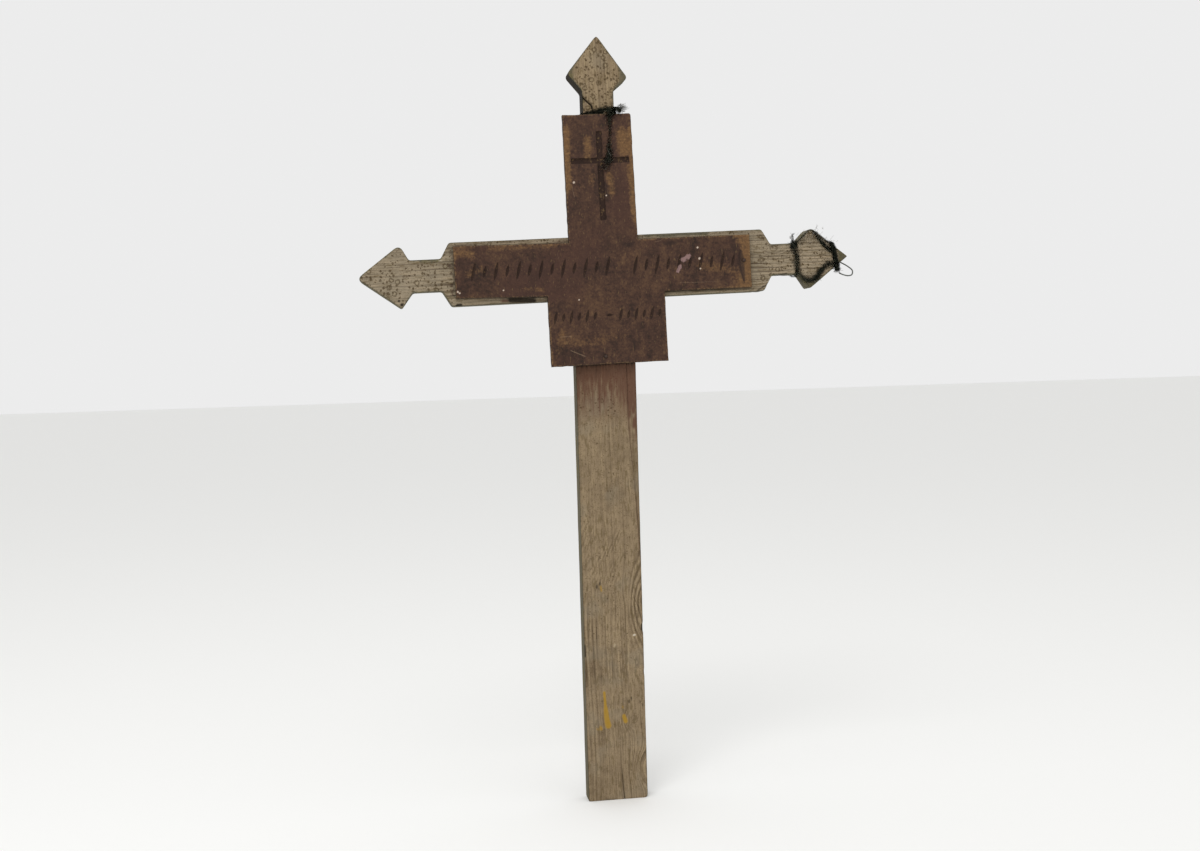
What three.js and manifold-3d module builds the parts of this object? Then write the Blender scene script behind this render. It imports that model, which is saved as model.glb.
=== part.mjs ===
// A weathered wooden grave cross. Two planks are halved together, three of their ends are sawn to
// spade shapes, and a painted name board is nailed over the crossing. Two torn black ribbons and a
// loop of thin wire are left on it. The rows on the name board are plain shallow strokes.
// Millimetres, +Z up. The front looks along -Y. The origin is the middle of the sawn foot.
import * as THREE from "three";
import { mergeVertices } from "three/addons/utils/BufferGeometryUtils.js";
import Module from "manifold-3d";

const wasm = await Module();
wasm.setup();

// Planks
const PLANK_THICK = 27;
const POST_WIDTH = 80;
const BAR_WIDTH = 82.2;
const NECK_WIDTH = 41.7;
const ARRIS = 1.2;
const FOOT_ROUND = { left: 2.6, right: 4.5 };

// The crossing: the bar stands a little out of square with the post
const BAR_HEIGHT = 705.5;
const BAR_TILT = THREE.MathUtils.degToRad(1.625);
const JOINT_GAP = 0.3;

// Spade ends, measured outwards from where the plank starts to taper. Side A comes first when one
// walks round the outline against the clock. The sides differ, because the ends are sawn by hand.
const TAPER_RUN = 11.5;
const TAPER_ROUND = 3;
const NECK_ROUND = 2.6;
const TOP_SPADE = {
  start: 889,
  sideA: { neck: 47, corner: 63, round: 5 },
  sideB: { neck: 45.5, corner: 68, round: 5 },
  tip: 118,
  tipRound: 6,
};
const LEFT_SPADE = {
  start: 199,
  sideA: { neck: 52, corner: 63, round: 9 },
  sideB: { neck: 49, corner: 64.5, round: 3 },
  tip: 119.5,
  tipRound: 9,
};
const RIGHT_SPADE = {
  start: 216.3,
  sideA: { neck: 50, corner: 63, round: 3 },
  sideB: { neck: 47, corner: 67.5, round: 8 },
  tip: 117.8,
  tipRound: 3,
};

// Open slits in the post's front, as [x, z, width] along each: where the saw slipped in the top
// neck, a long split down to the right edge, and a crack at the foot.
const SAW_SLIP = {
  depth: 4,
  route: [[-24, 930.1, 1.2], [-14.1, 921.1, 1.4], [-8.6, 916.2, 2], [-7, 904, 2.6]],
};
const SPLIT = {
  depth: 2.4,
  route: [
    [27.9, 600, 0.6], [28.1, 524, 0.7], [28.4, 495, 0.7],
    [33.9, 422, 0.8], [36.5, 378, 0.8], [39.8, 322, 0.5],
  ],
};
const FOOT_CRACK = { depth: 2.4, route: [[8.5, -2, 1], [7.2, 22, 0.8], [5.5, 52, 0.4]] };

// Name board, in the bar's own directions from the crossing
const BOARD_THICK = 8;
const BOARD_ARRIS = 0.6;
const BOARD_TOP = 197.8;
const BOARD_FOOT = -126.4;
const BOARD_HEAD = {
  left: -44.2, leftTop: -43.2, leftStart: 33.3,
  right: 46.9, rightTop: 46.6, rightStart: 34.4,
};
const BOARD_ARM = {
  left: -194.2, leftHigh: 35.2, leftLow: -31.4,
  right: 197.5, rightHigh: 34.4, rightLow: -35.6,
};
const BOARD_BLOCK = { left: -76, leftStart: -34.7, right: 79.2, rightStart: -35 };
const BOARD_ROUND = { inner: 0.5, sharp: 1.6, high: 2.2, foot: 2.4, worn: 3.4 };
const BROKEN_CORNER = { run: 5, rise: 6, slope: 0.2 };

// Carving on the name board
const CROSS_GROOVE = {
  width: 8.2, depth: 2, beam: 138,
  middle: 2.8, low: 61, high: 175.7, left: -35.6, right: 41.3,
};
const STROKE = { width: 4.6, depth: 1.8, lean: THREE.MathUtils.degToRad(14) };
const SHORT_STROKE = 0.62;
const FIRST_ROW = {
  height: 29, middle: 0.5, pitch: 14.6,
  groups: [{ start: -170, count: 13 }, { start: 42, count: 10 }],
};
const SECOND_ROW = {
  height: 20, middle: -63, pitch: 10.4,
  groups: [{ start: -67, count: 6 }, { start: 19, count: 6 }],
};
const DASH = { length: 9, middle: 4 };

// Nails through the name board
const NAIL = { head: 4.6, underHead: 3.5, headThick: 1.2, shank: 2.2, length: 24, clearance: 0.3 };
const NAIL_RIGHT = { along: 188, up: 0.6 };
const NAIL_FOOT = { along: -4.2, up: -116 };
const NAIL_SIDES = { head: 16, shank: 12 };

// Ribbons: how they clear the wood, how thick they are, and how far their cutting boxes reach
const RIBBON_CLEAR = 0.4;
const RIBBON_BULK = 1.6;
const RIBBON_REACH = 70;
const STRAND_SIDES = 8;
const STEPS_PER_POINT = 3;

// Top ribbon, in the post's frame: tied round the neck just above the name board and knotted at the
// right, with a frayed tuft and a thin end that hangs over the board.
const TOP_WRAP = { low: 904.2, high: 910.2 };
const TOP_KNOT = { size: [10, 4.6, 6.6], place: [14.7, -18.4, 908] };
const TOP_TUFT = { size: [8, 2.4, 6.2], place: [28.6, -16, 912] };
const TAIL_CLUMP = { size: [5.2, 2, 12], place: [8.8, -24.6, 848] };
const TAIL = {
  radius: 1.3,
  route: [
    [14.8, -18, 909], [14.6, -23.2, 906], [14, -23.8, 899], [12.3, -23.8, 884],
    [11.2, -23.8, 870], [9.8, -23.8, 852], [6.4, -23.8, 839.5], [1.6, -23.8, 832],
  ],
};

// Right ribbon, in the bar's frame: tied round the neck and knotted in front, with a bunched strand
// down to the low corner and back to a band round the tip, and two thin ones by the upper edge.
const NECK_WRAP = { along: 261, width: 8, height: 50 };
const TIP_WRAP = { along: 316.4, width: 6.6, lean: THREE.MathUtils.degToRad(12) };
const ARM_KNOT = { size: [5.6, 4, 5.8], place: [259.6, -14.6, 18] };
const TIP_CLUMP = { size: [4.8, 4.6, 5.8], place: [318.6, -11.4, -14.8] };
const LOW_STRAND = {
  radius: 1.9,
  route: [
    [261.4, -15.6, 8], [261.2, -15.8, -5], [261.8, -15.8, -13.5], [264.6, -15.8, -20], [269.4, -15.8, -26],
    [276, -15.8, -31], [283.4, -15.8, -31.2], [288.8, -15.8, -26.4], [294.6, -15.8, -17.6],
    [300.5, -15.8, -11.2], [306.4, -15.8, -7.4], [314.6, -15.8, -4],
  ],
};
const EDGE_STRAND = {
  radius: 1.2,
  route: [
    [260, -15, 20], [264.6, -15, 23], [272, -15, 29.6], [279.4, -15, 35.8],
    [285.6, -15, 37], [290.4, -15, 34], [297, -15, 27.8], [305.6, -15, 20.8], [313.8, -15, 13.6],
  ],
};
const INNER_STRAND = {
  radius: 1.1,
  route: [[290.4, -15, 33.2], [294, -15, 26.4], [298.6, -15, 19.2], [305.2, -15, 11.4], [314.4, -15, 3]],
};

// The wire: one stiff open loop that comes from behind the tip and ends under the ribbon's clump.
const WIRE = {
  radius: 0.9,
  route: [
    [322, 17.6, 3], [328, 16.4, -2.6], [334, 12, -7], [340, 6.5, -12], [345, 1, -19],
    [342.5, -3, -24.4], [336, -6, -25.8], [329, -8, -24.4], [322.6, -10, -22],
  ],
};

const FRONT = -PLANK_THICK / 2;
const BOARD_BACK = FRONT - JOINT_GAP;
const BOARD_FRONT = BOARD_BACK - BOARD_THICK;
const CORNER_STEPS = 5;

// An outline from corners [x, y, setback]: each corner is rounded over its setback along both sides.
function roundedOutline(corners) {
  const shape = new THREE.Shape();
  corners.forEach(([x, y, setback], index) => {
    const corner = new THREE.Vector2(x, y);
    const before = new THREE.Vector2(...corners.at(index - 1));
    const after = new THREE.Vector2(...corners[(index + 1) % corners.length]);
    const entry = before.sub(corner).setLength(setback).add(corner);
    const exit = after.sub(corner).setLength(setback).add(corner);
    if (index === 0) shape.moveTo(entry.x, entry.y);
    else shape.lineTo(entry.x, entry.y);
    shape.quadraticCurveTo(corner.x, corner.y, exit.x, exit.y);
  });
  shape.closePath();
  return shape;
}

// The corners of one spade end that points along +X, and the same corners turned by an angle.
function spadeCorners({ start, sideA, sideB, tip, tipRound }, plankWidth, angle) {
  const wide = plankWidth / 2;
  const neck = NECK_WIDTH / 2;
  const corners = [
    [0, -wide, TAPER_ROUND],
    [TAPER_RUN, -neck, NECK_ROUND],
    [sideA.neck, -neck, NECK_ROUND],
    [sideA.corner, -wide, sideA.round],
    [tip, 0, tipRound],
    [sideB.corner, wide, sideB.round],
    [sideB.neck, neck, NECK_ROUND],
    [TAPER_RUN, neck, NECK_ROUND],
    [0, wide, TAPER_ROUND],
  ];
  return corners.map(([out, across, setback]) => {
    const point = new THREE.Vector2(start + out, across).rotateAround(new THREE.Vector2(), angle);
    return [point.x, point.y, setback];
  });
}

// An outline stood upright in the XZ plane and made into a slab about y = 0. The bevel goes
// beyond the depth on both faces, and beyond the outline by itself and the offset.
function slab(shape, depth, bevel, offset, segments) {
  const options = {
    depth,
    bevelThickness: bevel,
    bevelSize: bevel,
    bevelOffset: offset,
    bevelSegments: segments,
    curveSegments: CORNER_STEPS,
  };
  return new THREE.ExtrudeGeometry(shape, options)
    .translate(0, 0, -depth / 2)
    .rotateX(Math.PI / 2);
}

// A plank with worn arrises, inside its outline.
const plank = (shape, thick, arris) => slab(shape, thick - 2 * arris, arris, -arris, 2);

// The same plank swollen on every side: the inner or outer face of a wrapping.
const swollenPlank = (shape, swell) => slab(shape, PLANK_THICK, swell, 0, 1);

// A slit that is open at the post's front, with straight sides and a flat bottom.
function slit({ depth, route }) {
  const side = (sign) => route.map(([x, z, width], index) => {
    const from = route[Math.max(index - 1, 0)];
    const to = route[Math.min(index + 1, route.length - 1)];
    const way = new THREE.Vector2(to[0] - from[0], to[1] - from[1]).setLength(sign * width / 2);
    return new THREE.Vector2(x - way.y, z + way.x);
  });
  const outline = new THREE.Shape([...side(1), ...side(-1).reverse()]);
  return new THREE.ExtrudeGeometry(outline, { depth: depth + ARRIS, bevelEnabled: false })
    .rotateX(Math.PI / 2)
    .translate(0, FRONT + depth, 0);
}

function toSolid(geometry) {
  const bare = geometry.index ? geometry.toNonIndexed() : geometry.clone();
  bare.deleteAttribute("normal");
  bare.deleteAttribute("uv");
  const merged = mergeVertices(bare, 1e-4);
  return new wasm.Manifold(
    new wasm.Mesh({
      numProp: 3,
      vertProperties: merged.attributes.position.array,
      triVerts: new Uint32Array(merged.index.array),
    }),
  );
}

function toGeometry(solid) {
  const made = solid.getMesh();
  const geometry = new THREE.BufferGeometry();
  geometry.setAttribute("position", new THREE.BufferAttribute(made.vertProperties, 3));
  geometry.setIndex(new THREE.BufferAttribute(made.triVerts, 1));
  geometry.computeVertexNormals();
  return geometry;
}

const joined = (pieces) => pieces.map(toSolid).reduce((sum, piece) => sum.add(piece));
const without = (solid, cutters) => cutters.map(toSolid).reduce((rest, cutter) => rest.subtract(cutter), solid);

function block(width, thick, height, x, y, z) {
  return new THREE.BoxGeometry(width, thick, height).translate(x, y, z);
}

function pebble({ size, place }) {
  return new THREE.IcosahedronGeometry(1, 1).scale(...size).translate(...place);
}

// A round strand along a smooth curve through the points of its route.
function strand({ radius, route }) {
  const path = new THREE.CatmullRomCurve3(route.map((point) => new THREE.Vector3(...point)));
  const section = new THREE.Shape();
  section.absarc(0, 0, radius, 0, 2 * Math.PI);
  const steps = STEPS_PER_POINT * (route.length - 1);
  return new THREE.ExtrudeGeometry(section, { steps, curveSegments: STRAND_SIDES, extrudePath: path });
}

// A chisel cut: a long eight-sided diamond, deepest in its middle, that leans to the right.
function chiselCut(length, along, up, lean) {
  return new THREE.OctahedronGeometry(1)
    .scale(STROKE.width / 2, STROKE.depth, length / 2)
    .rotateY(lean)
    .translate(along, BOARD_FRONT, up);
}

function strokeRow(row) {
  const cuts = [];
  for (const { start, count } of row.groups) {
    for (let i = 0; i < count; i++) {
      const share = i % 2 ? SHORT_STROKE : 1;
      cuts.push(chiselCut(row.height * share, start + i * row.pitch, row.middle, STROKE.lean));
    }
  }
  return cuts;
}

// A nail hole or a nail shank: a cylinder that runs back from the board's face.
function pin(radius, length, { along, up }) {
  return new THREE.CylinderGeometry(radius, radius, length, NAIL_SIDES.shank)
    .translate(along, BOARD_FRONT + length / 2, up);
}

const nailHole = (place) => pin(NAIL.shank / 2 + NAIL.clearance, NAIL.length + 1, place);

const paint = (colour, roughness, metalness = 0) =>
  new THREE.MeshStandardMaterial({ color: colour, roughness, metalness });
const greyWood = paint(0x93835f, 0.9);
const brownBoard = paint(0x4e382c, 0.75);
const blackGauze = paint(0x1c1e1c, 0.9);
const rustyIron = paint(0x3a3230, 0.6, 0.8);
const greyWire = paint(0x8b8f88, 0.45, 0.9);

// The post: a plain plank from the foot to the taper, then the top spade.
const postOutline = roundedOutline([
  [-POST_WIDTH / 2, 0, FOOT_ROUND.left],
  [POST_WIDTH / 2, 0, FOOT_ROUND.right],
  ...spadeCorners(TOP_SPADE, POST_WIDTH, Math.PI / 2),
]);

// The crossbar: a spade at each end, drawn about the crossing.
const barOutline = roundedOutline([
  ...spadeCorners(RIGHT_SPADE, BAR_WIDTH, 0),
  ...spadeCorners(LEFT_SPADE, BAR_WIDTH, Math.PI),
]);

// The bar's place seen from the post.
const barPlace = new THREE.Matrix4()
  .makeRotationY(-BAR_TILT)
  .setPosition(0, 0, BAR_HEIGHT);

// Half-lap joint: the post gives up its front half at the crossing and the bar its back half.
const lapDepth = PLANK_THICK / 2 + ARRIS;
const lapMiddle = (lapDepth - JOINT_GAP) / 2;
const postLap = block(2 * POST_WIDTH, lapDepth, BAR_WIDTH + 2 * JOINT_GAP, 0, -lapMiddle, 0)
  .applyMatrix4(barPlace);
const barLap = block(POST_WIDTH + 2 * JOINT_GAP, lapDepth, 3 * BAR_WIDTH, 0, lapMiddle, 0)
  .rotateY(BAR_TILT);

function makePost() {
  const hole = nailHole(NAIL_FOOT).applyMatrix4(barPlace);
  const cutters = [postLap, hole, slit(SAW_SLIP), slit(SPLIT), slit(FOOT_CRACK)];
  return without(toSolid(plank(postOutline, PLANK_THICK, ARRIS)), cutters);
}

function makeCrossbar() {
  return without(toSolid(plank(barOutline, PLANK_THICK, ARRIS)), [barLap, nailHole(NAIL_RIGHT)]);
}

// The name board: a cross with a broad block below the arm and one broken corner.
function makeNameBoard() {
  const { left, leftHigh, leftLow, right, rightHigh, rightLow } = BOARD_ARM;
  const { inner, sharp, foot, worn } = BOARD_ROUND;
  const { run, rise, slope } = BROKEN_CORNER;
  const outline = roundedOutline([
    [BOARD_BLOCK.left, BOARD_FOOT, foot],
    [BOARD_BLOCK.right, BOARD_FOOT, sharp],
    [BOARD_BLOCK.right, BOARD_BLOCK.rightStart, inner],
    [right, rightLow, sharp],
    [right, rightHigh, BOARD_ROUND.high],
    [BOARD_HEAD.right, BOARD_HEAD.rightStart, inner],
    [BOARD_HEAD.rightTop, BOARD_TOP, worn],
    [BOARD_HEAD.leftTop, BOARD_TOP, sharp],
    [BOARD_HEAD.left, BOARD_HEAD.leftStart, inner],
    [left, leftHigh, sharp],
    [left, leftLow + rise, sharp],
    [left + run, leftLow + slope, sharp],
    [BOARD_BLOCK.left, BOARD_BLOCK.leftStart, inner],
  ]);
  const face = plank(outline, BOARD_THICK, BOARD_ARRIS).translate(0, BOARD_BACK - BOARD_THICK / 2, 0);
  const groove = CROSS_GROOVE;
  const groovePlace = [(groove.left + groove.right) / 2, (groove.low + groove.high) / 2];
  const cutters = [
    block(groove.width, 2 * groove.depth, groove.high - groove.low, groove.middle, BOARD_FRONT, groovePlace[1]),
    block(groove.right - groove.left, 2 * groove.depth, groove.width, groovePlace[0], BOARD_FRONT, groove.beam),
    ...strokeRow(FIRST_ROW),
    ...strokeRow(SECOND_ROW),
    chiselCut(DASH.length, DASH.middle, SECOND_ROW.middle, Math.PI / 2),
    nailHole(NAIL_RIGHT),
    nailHole(NAIL_FOOT),
  ];
  return without(toSolid(face), cutters);
}

// A nail: a thin round head just proud of the board and a shank into the plank behind it.
function makeNail(place) {
  const { head, underHead, headThick, shank, length } = NAIL;
  const disc = new THREE.CylinderGeometry(head / 2, underHead / 2, headThick, NAIL_SIDES.head)
    .translate(place.along, BOARD_FRONT - JOINT_GAP - headThick / 2, place.up);
  const pole = pin(shank / 2, length, place).translate(0, -JOINT_GAP - headThick / 2, 0);
  return joined([disc, pole]);
}

// A wrapping that hugs a plank all round, wherever the region boxes reach.
function wrapping(outline, regions) {
  const outer = toSolid(swollenPlank(outline, RIBBON_CLEAR + RIBBON_BULK));
  const bands = regions.map((region) => outer.intersect(toSolid(region)));
  return bands.reduce((sum, band) => sum.add(band));
}

function makeTopRibbon() {
  const { low, high } = TOP_WRAP;
  const region = block(2 * RIBBON_REACH, RIBBON_REACH, high - low, 0, 0, (low + high) / 2);
  const loose = joined([pebble(TOP_KNOT), pebble(TOP_TUFT), pebble(TAIL_CLUMP), strand(TAIL)]);
  const boardRoom = block(
    BOARD_HEAD.right - BOARD_HEAD.left, BOARD_THICK + 2 * JOINT_GAP, BOARD_TOP,
    (BOARD_HEAD.left + BOARD_HEAD.right) / 2, BOARD_BACK - BOARD_THICK / 2, BOARD_TOP / 2 + JOINT_GAP,
  ).applyMatrix4(barPlace);
  const spare = [swollenPlank(postOutline, RIBBON_CLEAR), boardRoom];
  return without(wrapping(postOutline, [region]).add(loose), spare);
}

function makeArmRibbon() {
  const neckRegion = block(NECK_WRAP.width, RIBBON_REACH, NECK_WRAP.height, NECK_WRAP.along, 0, 0);
  const tipRegion = block(TIP_WRAP.width, RIBBON_REACH, RIBBON_REACH, 0, 0, 0)
    .rotateY(-TIP_WRAP.lean)
    .translate(TIP_WRAP.along, 0, 0);
  const strands = [LOW_STRAND, EDGE_STRAND, INNER_STRAND].map(strand);
  const loose = joined([pebble(ARM_KNOT), pebble(TIP_CLUMP), ...strands]);
  const bands = wrapping(barOutline, [neckRegion, tipRegion]);
  return without(bands.add(loose), [swollenPlank(barOutline, RIBBON_CLEAR)]);
}

const madeOf = (name, solid, material) => {
  const mesh = new THREE.Mesh(toGeometry(solid), material);
  mesh.name = name;
  return mesh;
};

const cross = new THREE.Group();
cross.add(madeOf("post", makePost(), greyWood));
cross.add(madeOf("top_ribbon", makeTopRibbon(), blackGauze));

// Everything that was fixed to the bar leans with it.
const crossing = new THREE.Group();
crossing.position.z = BAR_HEIGHT;
crossing.rotation.y = -BAR_TILT;
crossing.add(madeOf("crossbar", makeCrossbar(), greyWood));
crossing.add(madeOf("name_board", makeNameBoard(), brownBoard));
crossing.add(madeOf("nail_right", makeNail(NAIL_RIGHT), rustyIron));
crossing.add(madeOf("nail_foot", makeNail(NAIL_FOOT), rustyIron));
crossing.add(madeOf("arm_ribbon", makeArmRibbon(), blackGauze));
crossing.add(madeOf("ribbon_wire", toSolid(strand(WIRE)), greyWire));
cross.add(crossing);

export default cross;
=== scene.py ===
import math

import bpy
import numpy as np
from mathutils import Matrix, Vector


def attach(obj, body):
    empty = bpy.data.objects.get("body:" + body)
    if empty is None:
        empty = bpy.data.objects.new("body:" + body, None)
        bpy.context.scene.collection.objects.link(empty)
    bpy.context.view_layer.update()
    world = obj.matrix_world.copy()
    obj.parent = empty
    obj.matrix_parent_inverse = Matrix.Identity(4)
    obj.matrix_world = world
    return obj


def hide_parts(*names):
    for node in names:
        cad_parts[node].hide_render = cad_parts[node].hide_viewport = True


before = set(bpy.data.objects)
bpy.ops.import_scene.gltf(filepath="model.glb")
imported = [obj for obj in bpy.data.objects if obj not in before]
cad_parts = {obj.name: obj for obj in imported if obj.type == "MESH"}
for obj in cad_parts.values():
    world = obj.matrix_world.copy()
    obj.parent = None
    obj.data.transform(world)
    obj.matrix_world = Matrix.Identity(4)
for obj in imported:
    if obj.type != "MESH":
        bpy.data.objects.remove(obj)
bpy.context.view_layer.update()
MM = 0.001


# Camera
# The viewpoint is a little left of the cross and below its arms, with a normal lens held
# almost level, so the left side of the post and the undersides of the arms just show.
EYE = Vector((-0.2803, -1.7662, 0.5699))
EYE_TURNS = [math.radians(turn) for turn in (8.763, -2.3, -1.693)]
LENS = 40.5
FILM_WIDTH = 36


def looking(yaw, pitch, roll):
    """The camera's turn: level right and up for the yaw and pitch, then rolled about the view."""
    ahead = Vector((math.sin(yaw) * math.cos(pitch), math.cos(yaw) * math.cos(pitch), math.sin(pitch)))
    level = Vector((math.cos(yaw), -math.sin(yaw), 0))
    above = level.cross(ahead)
    right = math.cos(roll) * level + math.sin(roll) * above
    up = math.cos(roll) * above - math.sin(roll) * level
    return Matrix((right, up, -ahead)).transposed().to_4x4()


camera = bpy.data.objects.new("camera", bpy.data.cameras.new("camera"))
camera.data.lens = LENS
camera.data.sensor_width = FILM_WIDTH
camera.matrix_world = Matrix.Translation(EYE) @ looking(*EYE_TURNS)
bpy.context.scene.collection.objects.link(camera)
bpy.context.scene.camera = camera


# Post
# A sawn softwood plank that stands in the ground, with its top end sawn by hand to a spade. Years
# outdoors have turned it grey and ribbed, with lichen, knots, a long split and drips of yellow paint.
PLANK_HALF = 13.5
POST_WIDTH = 80
NECK_WIDTH = 41.7
TAPER_RUN = 11.5
TAPER_ROUND = 3
NECK_ROUND = 2.6
POST_ARRIS = 1.5
FOOT_ROUND = (2.6, 4.5)
TOP_SPADE = {"start": 889, "neck": (45.5, 47), "corner": (68, 63), "round": (5, 5), "tip": 118, "point": 6}
BAR_HEIGHT = 705.5
BAR_TILT = math.radians(1.625)
BAR_WIDTH = 82.2
LAP_GAP = 0.15
POST_PITH = (70, 28)
# Knots as (across, along, reach of the swept grain, how far it stretches along the post).
POST_KNOTS = [
    (46, 284, 30, 1.7), (47, 236, 24, 1.6), (30, 182, 9, 2.6), (24, 106, 11, 1.2), (46, 40, 20, 1.5),
]
# The long split and the crack at the foot as points (along, across), the saw slip as (across, along).
SPLIT = [(300, 40.4), (322, 39.8), (378, 36.5), (422, 33.9), (495, 28.4), (524, 28.1), (600, 27.9)]
FOOT_CRACK = [(-5, 8.6), (0, 8.4), (22, 7.2), (53, 5.5)]
SAW_SLIP = [(-24, 930), (-22.2, 928.5), (-14.1, 921.1), (-8.6, 916.2), (-6.9, 909)]


def rounded(corners, steps=9):
    """An outline whose corners are eased: at each (x, y, setback) a quadratic curve leaves one side
    the setback before the corner and meets the next side the setback after it."""
    place = np.array([corner[:2] for corner in corners], float)
    setback = np.array([corner[2] for corner in corners], float)[:, None]
    back, on = np.roll(place, 1, 0) - place, np.roll(place, -1, 0) - place
    start = place + back / np.linalg.norm(back, axis=1, keepdims=True) * setback
    end = place + on / np.linalg.norm(on, axis=1, keepdims=True) * setback
    t = np.linspace(0, 1, steps)[None, :, None]
    curve = (1 - t) ** 2 * start[:, None] + 2 * t * (1 - t) * place[:, None] + t ** 2 * end[:, None]
    return curve.reshape(-1, 2)


def spade_corners(spade, width):
    """The corners of a spade end, as (along, across, setback), from the low side round to the high
    side. Each side has its own neck and shoulder, because the end is sawn by hand."""
    (neck_low, neck_high), (low, high) = spade["neck"], spade["corner"]
    round_low, round_high = spade["round"]
    wide, neck = width / 2, NECK_WIDTH / 2
    corners = [
        (0, -wide, TAPER_ROUND), (TAPER_RUN, -neck, NECK_ROUND), (neck_low, -neck, NECK_ROUND),
        (low, -wide, round_low), (spade["tip"], 0, spade["point"]), (high, wide, round_high),
        (neck_high, neck, NECK_ROUND), (TAPER_RUN, neck, NECK_ROUND), (0, wide, TAPER_ROUND),
    ]
    return [(spade["start"] + along, across, setback) for along, across, setback in corners]


def two_edges(outline, along):
    """Where the outline's low side and high side lie at each station along the plank."""
    outline = np.roll(outline, -outline[:, 0].argmin(), axis=0)
    tip = outline[:, 0].argmax()
    low, high = outline[: tip + 1], outline[tip:][::-1]
    return np.interp(along, *low.T), np.interp(along, *high.T)


def block_faces(stations, columns, layers):
    """The six sheets of quads round a block of stations x columns x layers points: the points that
    they use, as three index arrays, and the quads as rows of numbers of those points."""
    number = np.arange(stations * columns * layers).reshape(stations, columns, layers)
    sheets = [
        number[:, :, 0], number[:, ::-1, -1], number[:, 0, ::-1], number[:, -1], number[0], number[-1][::-1],
    ]
    quads = [np.stack([s[:-1, :-1], s[:-1, 1:], s[1:, 1:], s[1:, :-1]], -1).reshape(-1, 4) for s in sheets]
    used, faces = np.unique(np.concatenate(quads), return_inverse=True)
    return np.unravel_index(used, number.shape), faces.reshape(-1, 4)


def hills(u, v, seed, u_size, v_size):
    """Smooth random hills from -1 to 1: random heights on a lattice of u_size by v_size, joined by
    smooth steps."""
    table = np.random.default_rng(seed).uniform(-1, 1, (61, 67))
    x, y = u / u_size, v / v_size
    i, j = np.floor(x).astype(int), np.floor(y).astype(int)
    s, t = x - i, y - j
    s, t = s * s * (3 - 2 * s), t * t * (3 - 2 * t)
    low = table[i % 61, j % 67] * (1 - s) + table[(i + 1) % 61, j % 67] * s
    high = table[i % 61, (j + 1) % 67] * (1 - s) + table[(i + 1) % 61, (j + 1) % 67] * s
    return low * (1 - t) + high * t


def ramp(value, start, end):
    """0 at start, 1 at end, with a smooth step between them. The end may be below the start."""
    t = np.clip((value - start) / (end - start), 0, 1)
    return t * t * (3 - 2 * t)


def zone(value, start, full, last, end):
    """1 from full to last, fading smoothly to 0 at start and at end."""
    return ramp(value, start, full) * ramp(value, end, last)


def near_line(u, v, line, width):
    """1 on a line through the points, falling off to 0 as a bell curve of that width to each side."""
    line = np.array(line, float)
    least = np.full(u.shape, 1e9)
    for start, end in zip(line[:-1], line[1:]):
        way = end - start
        t = np.clip(((u - start[0]) * way[0] + (v - start[1]) * way[1]) / (way @ way), 0, 1)
        least = np.minimum(least, np.hypot(u - start[0] - t * way[0], v - start[1] - t * way[1]))
    return np.exp(-((least / width) ** 2))


def marks(u, v, table):
    """The sum of soft lines, from rows of (strength, width, first point, next point, ...)."""
    return sum(strength * near_line(u, v, line, width) for strength, width, *line in table)


def even_lines(distance, pitch):
    """Lines a pitch apart: the sine of the distance, from -1 to 1."""
    return np.sin(2 * math.pi * distance / pitch)


def growth_rings(across, through, along, pith, knots, seed):
    """Distance from the heart of the tree, which wanders along the plank. Near a knot the rings
    are the lesser of that and the distance from the knot, blended, so the grain sweeps round it."""
    wander = hills(along, 0 * along, seed, 260, 50) * 7
    rings = np.hypot(across - pith[0] - wander, through - pith[1])
    for knot_across, knot_along, reach, stretch in knots:
        heart = np.hypot(knot_across - pith[0], PLANK_HALF + pith[1]) - reach
        from_knot = heart + 1.5 * np.hypot(across - knot_across, (along - knot_along) / stretch)
        rings = -3.5 * np.logaddexp(-rings / 3.5, -from_knot / 3.5)
    return rings + 1.2 * hills(across, along, seed + 1, 30, 70)


def eased_block(outline, along, columns, layers, arris):
    """A plank as a block of points: stations along it, columns across it from edge to edge and
    layers through it. Its four long arrises are eased to a radius that arris gives for each station:
    a point beyond the flat is pulled back to that radius from the flat's edge."""
    (i, j, k), faces = block_faces(len(along), len(columns), len(layers))
    low, high = two_edges(outline, along)
    half, middle = (high - low)[i] / 2, (high + low)[i] / 2
    across, through = columns[j] * half, layers[k] * PLANK_HALF
    radius = arris(along[i])
    flat = np.maximum(half - radius, 0)
    flat_across = np.clip(across, -flat, flat)
    flat_through = np.clip(through, radius - PLANK_HALF, PLANK_HALF - radius)
    over_across, over_through = across - flat_across, through - flat_through
    pull = np.minimum(1, radius / np.maximum(np.hypot(over_across, over_through), 1e-9))
    return {
        "across": middle + flat_across + over_across * pull, "through": flat_through + over_through * pull,
        "along": along[i], "front": k == 0, "back": k == len(layers) - 1, "low": j == 0,
        "high": j == len(columns) - 1, "edge": (1 - abs(columns[j])) * half, "faces": faces,
    }


def press_in(block, across, through, front, back, side):
    """The block's faces moved inwards: its front, its back and both its edges by depths of their
    own, the front by no less than a hair."""
    side = np.maximum(side, 0)
    across = across + np.where(block["low"], side, 0) - np.where(block["high"], side, 0)
    through = through + np.where(block["front"], np.maximum(front, 0.02), 0)
    return across, through - np.where(block["back"], back, 0)


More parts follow.
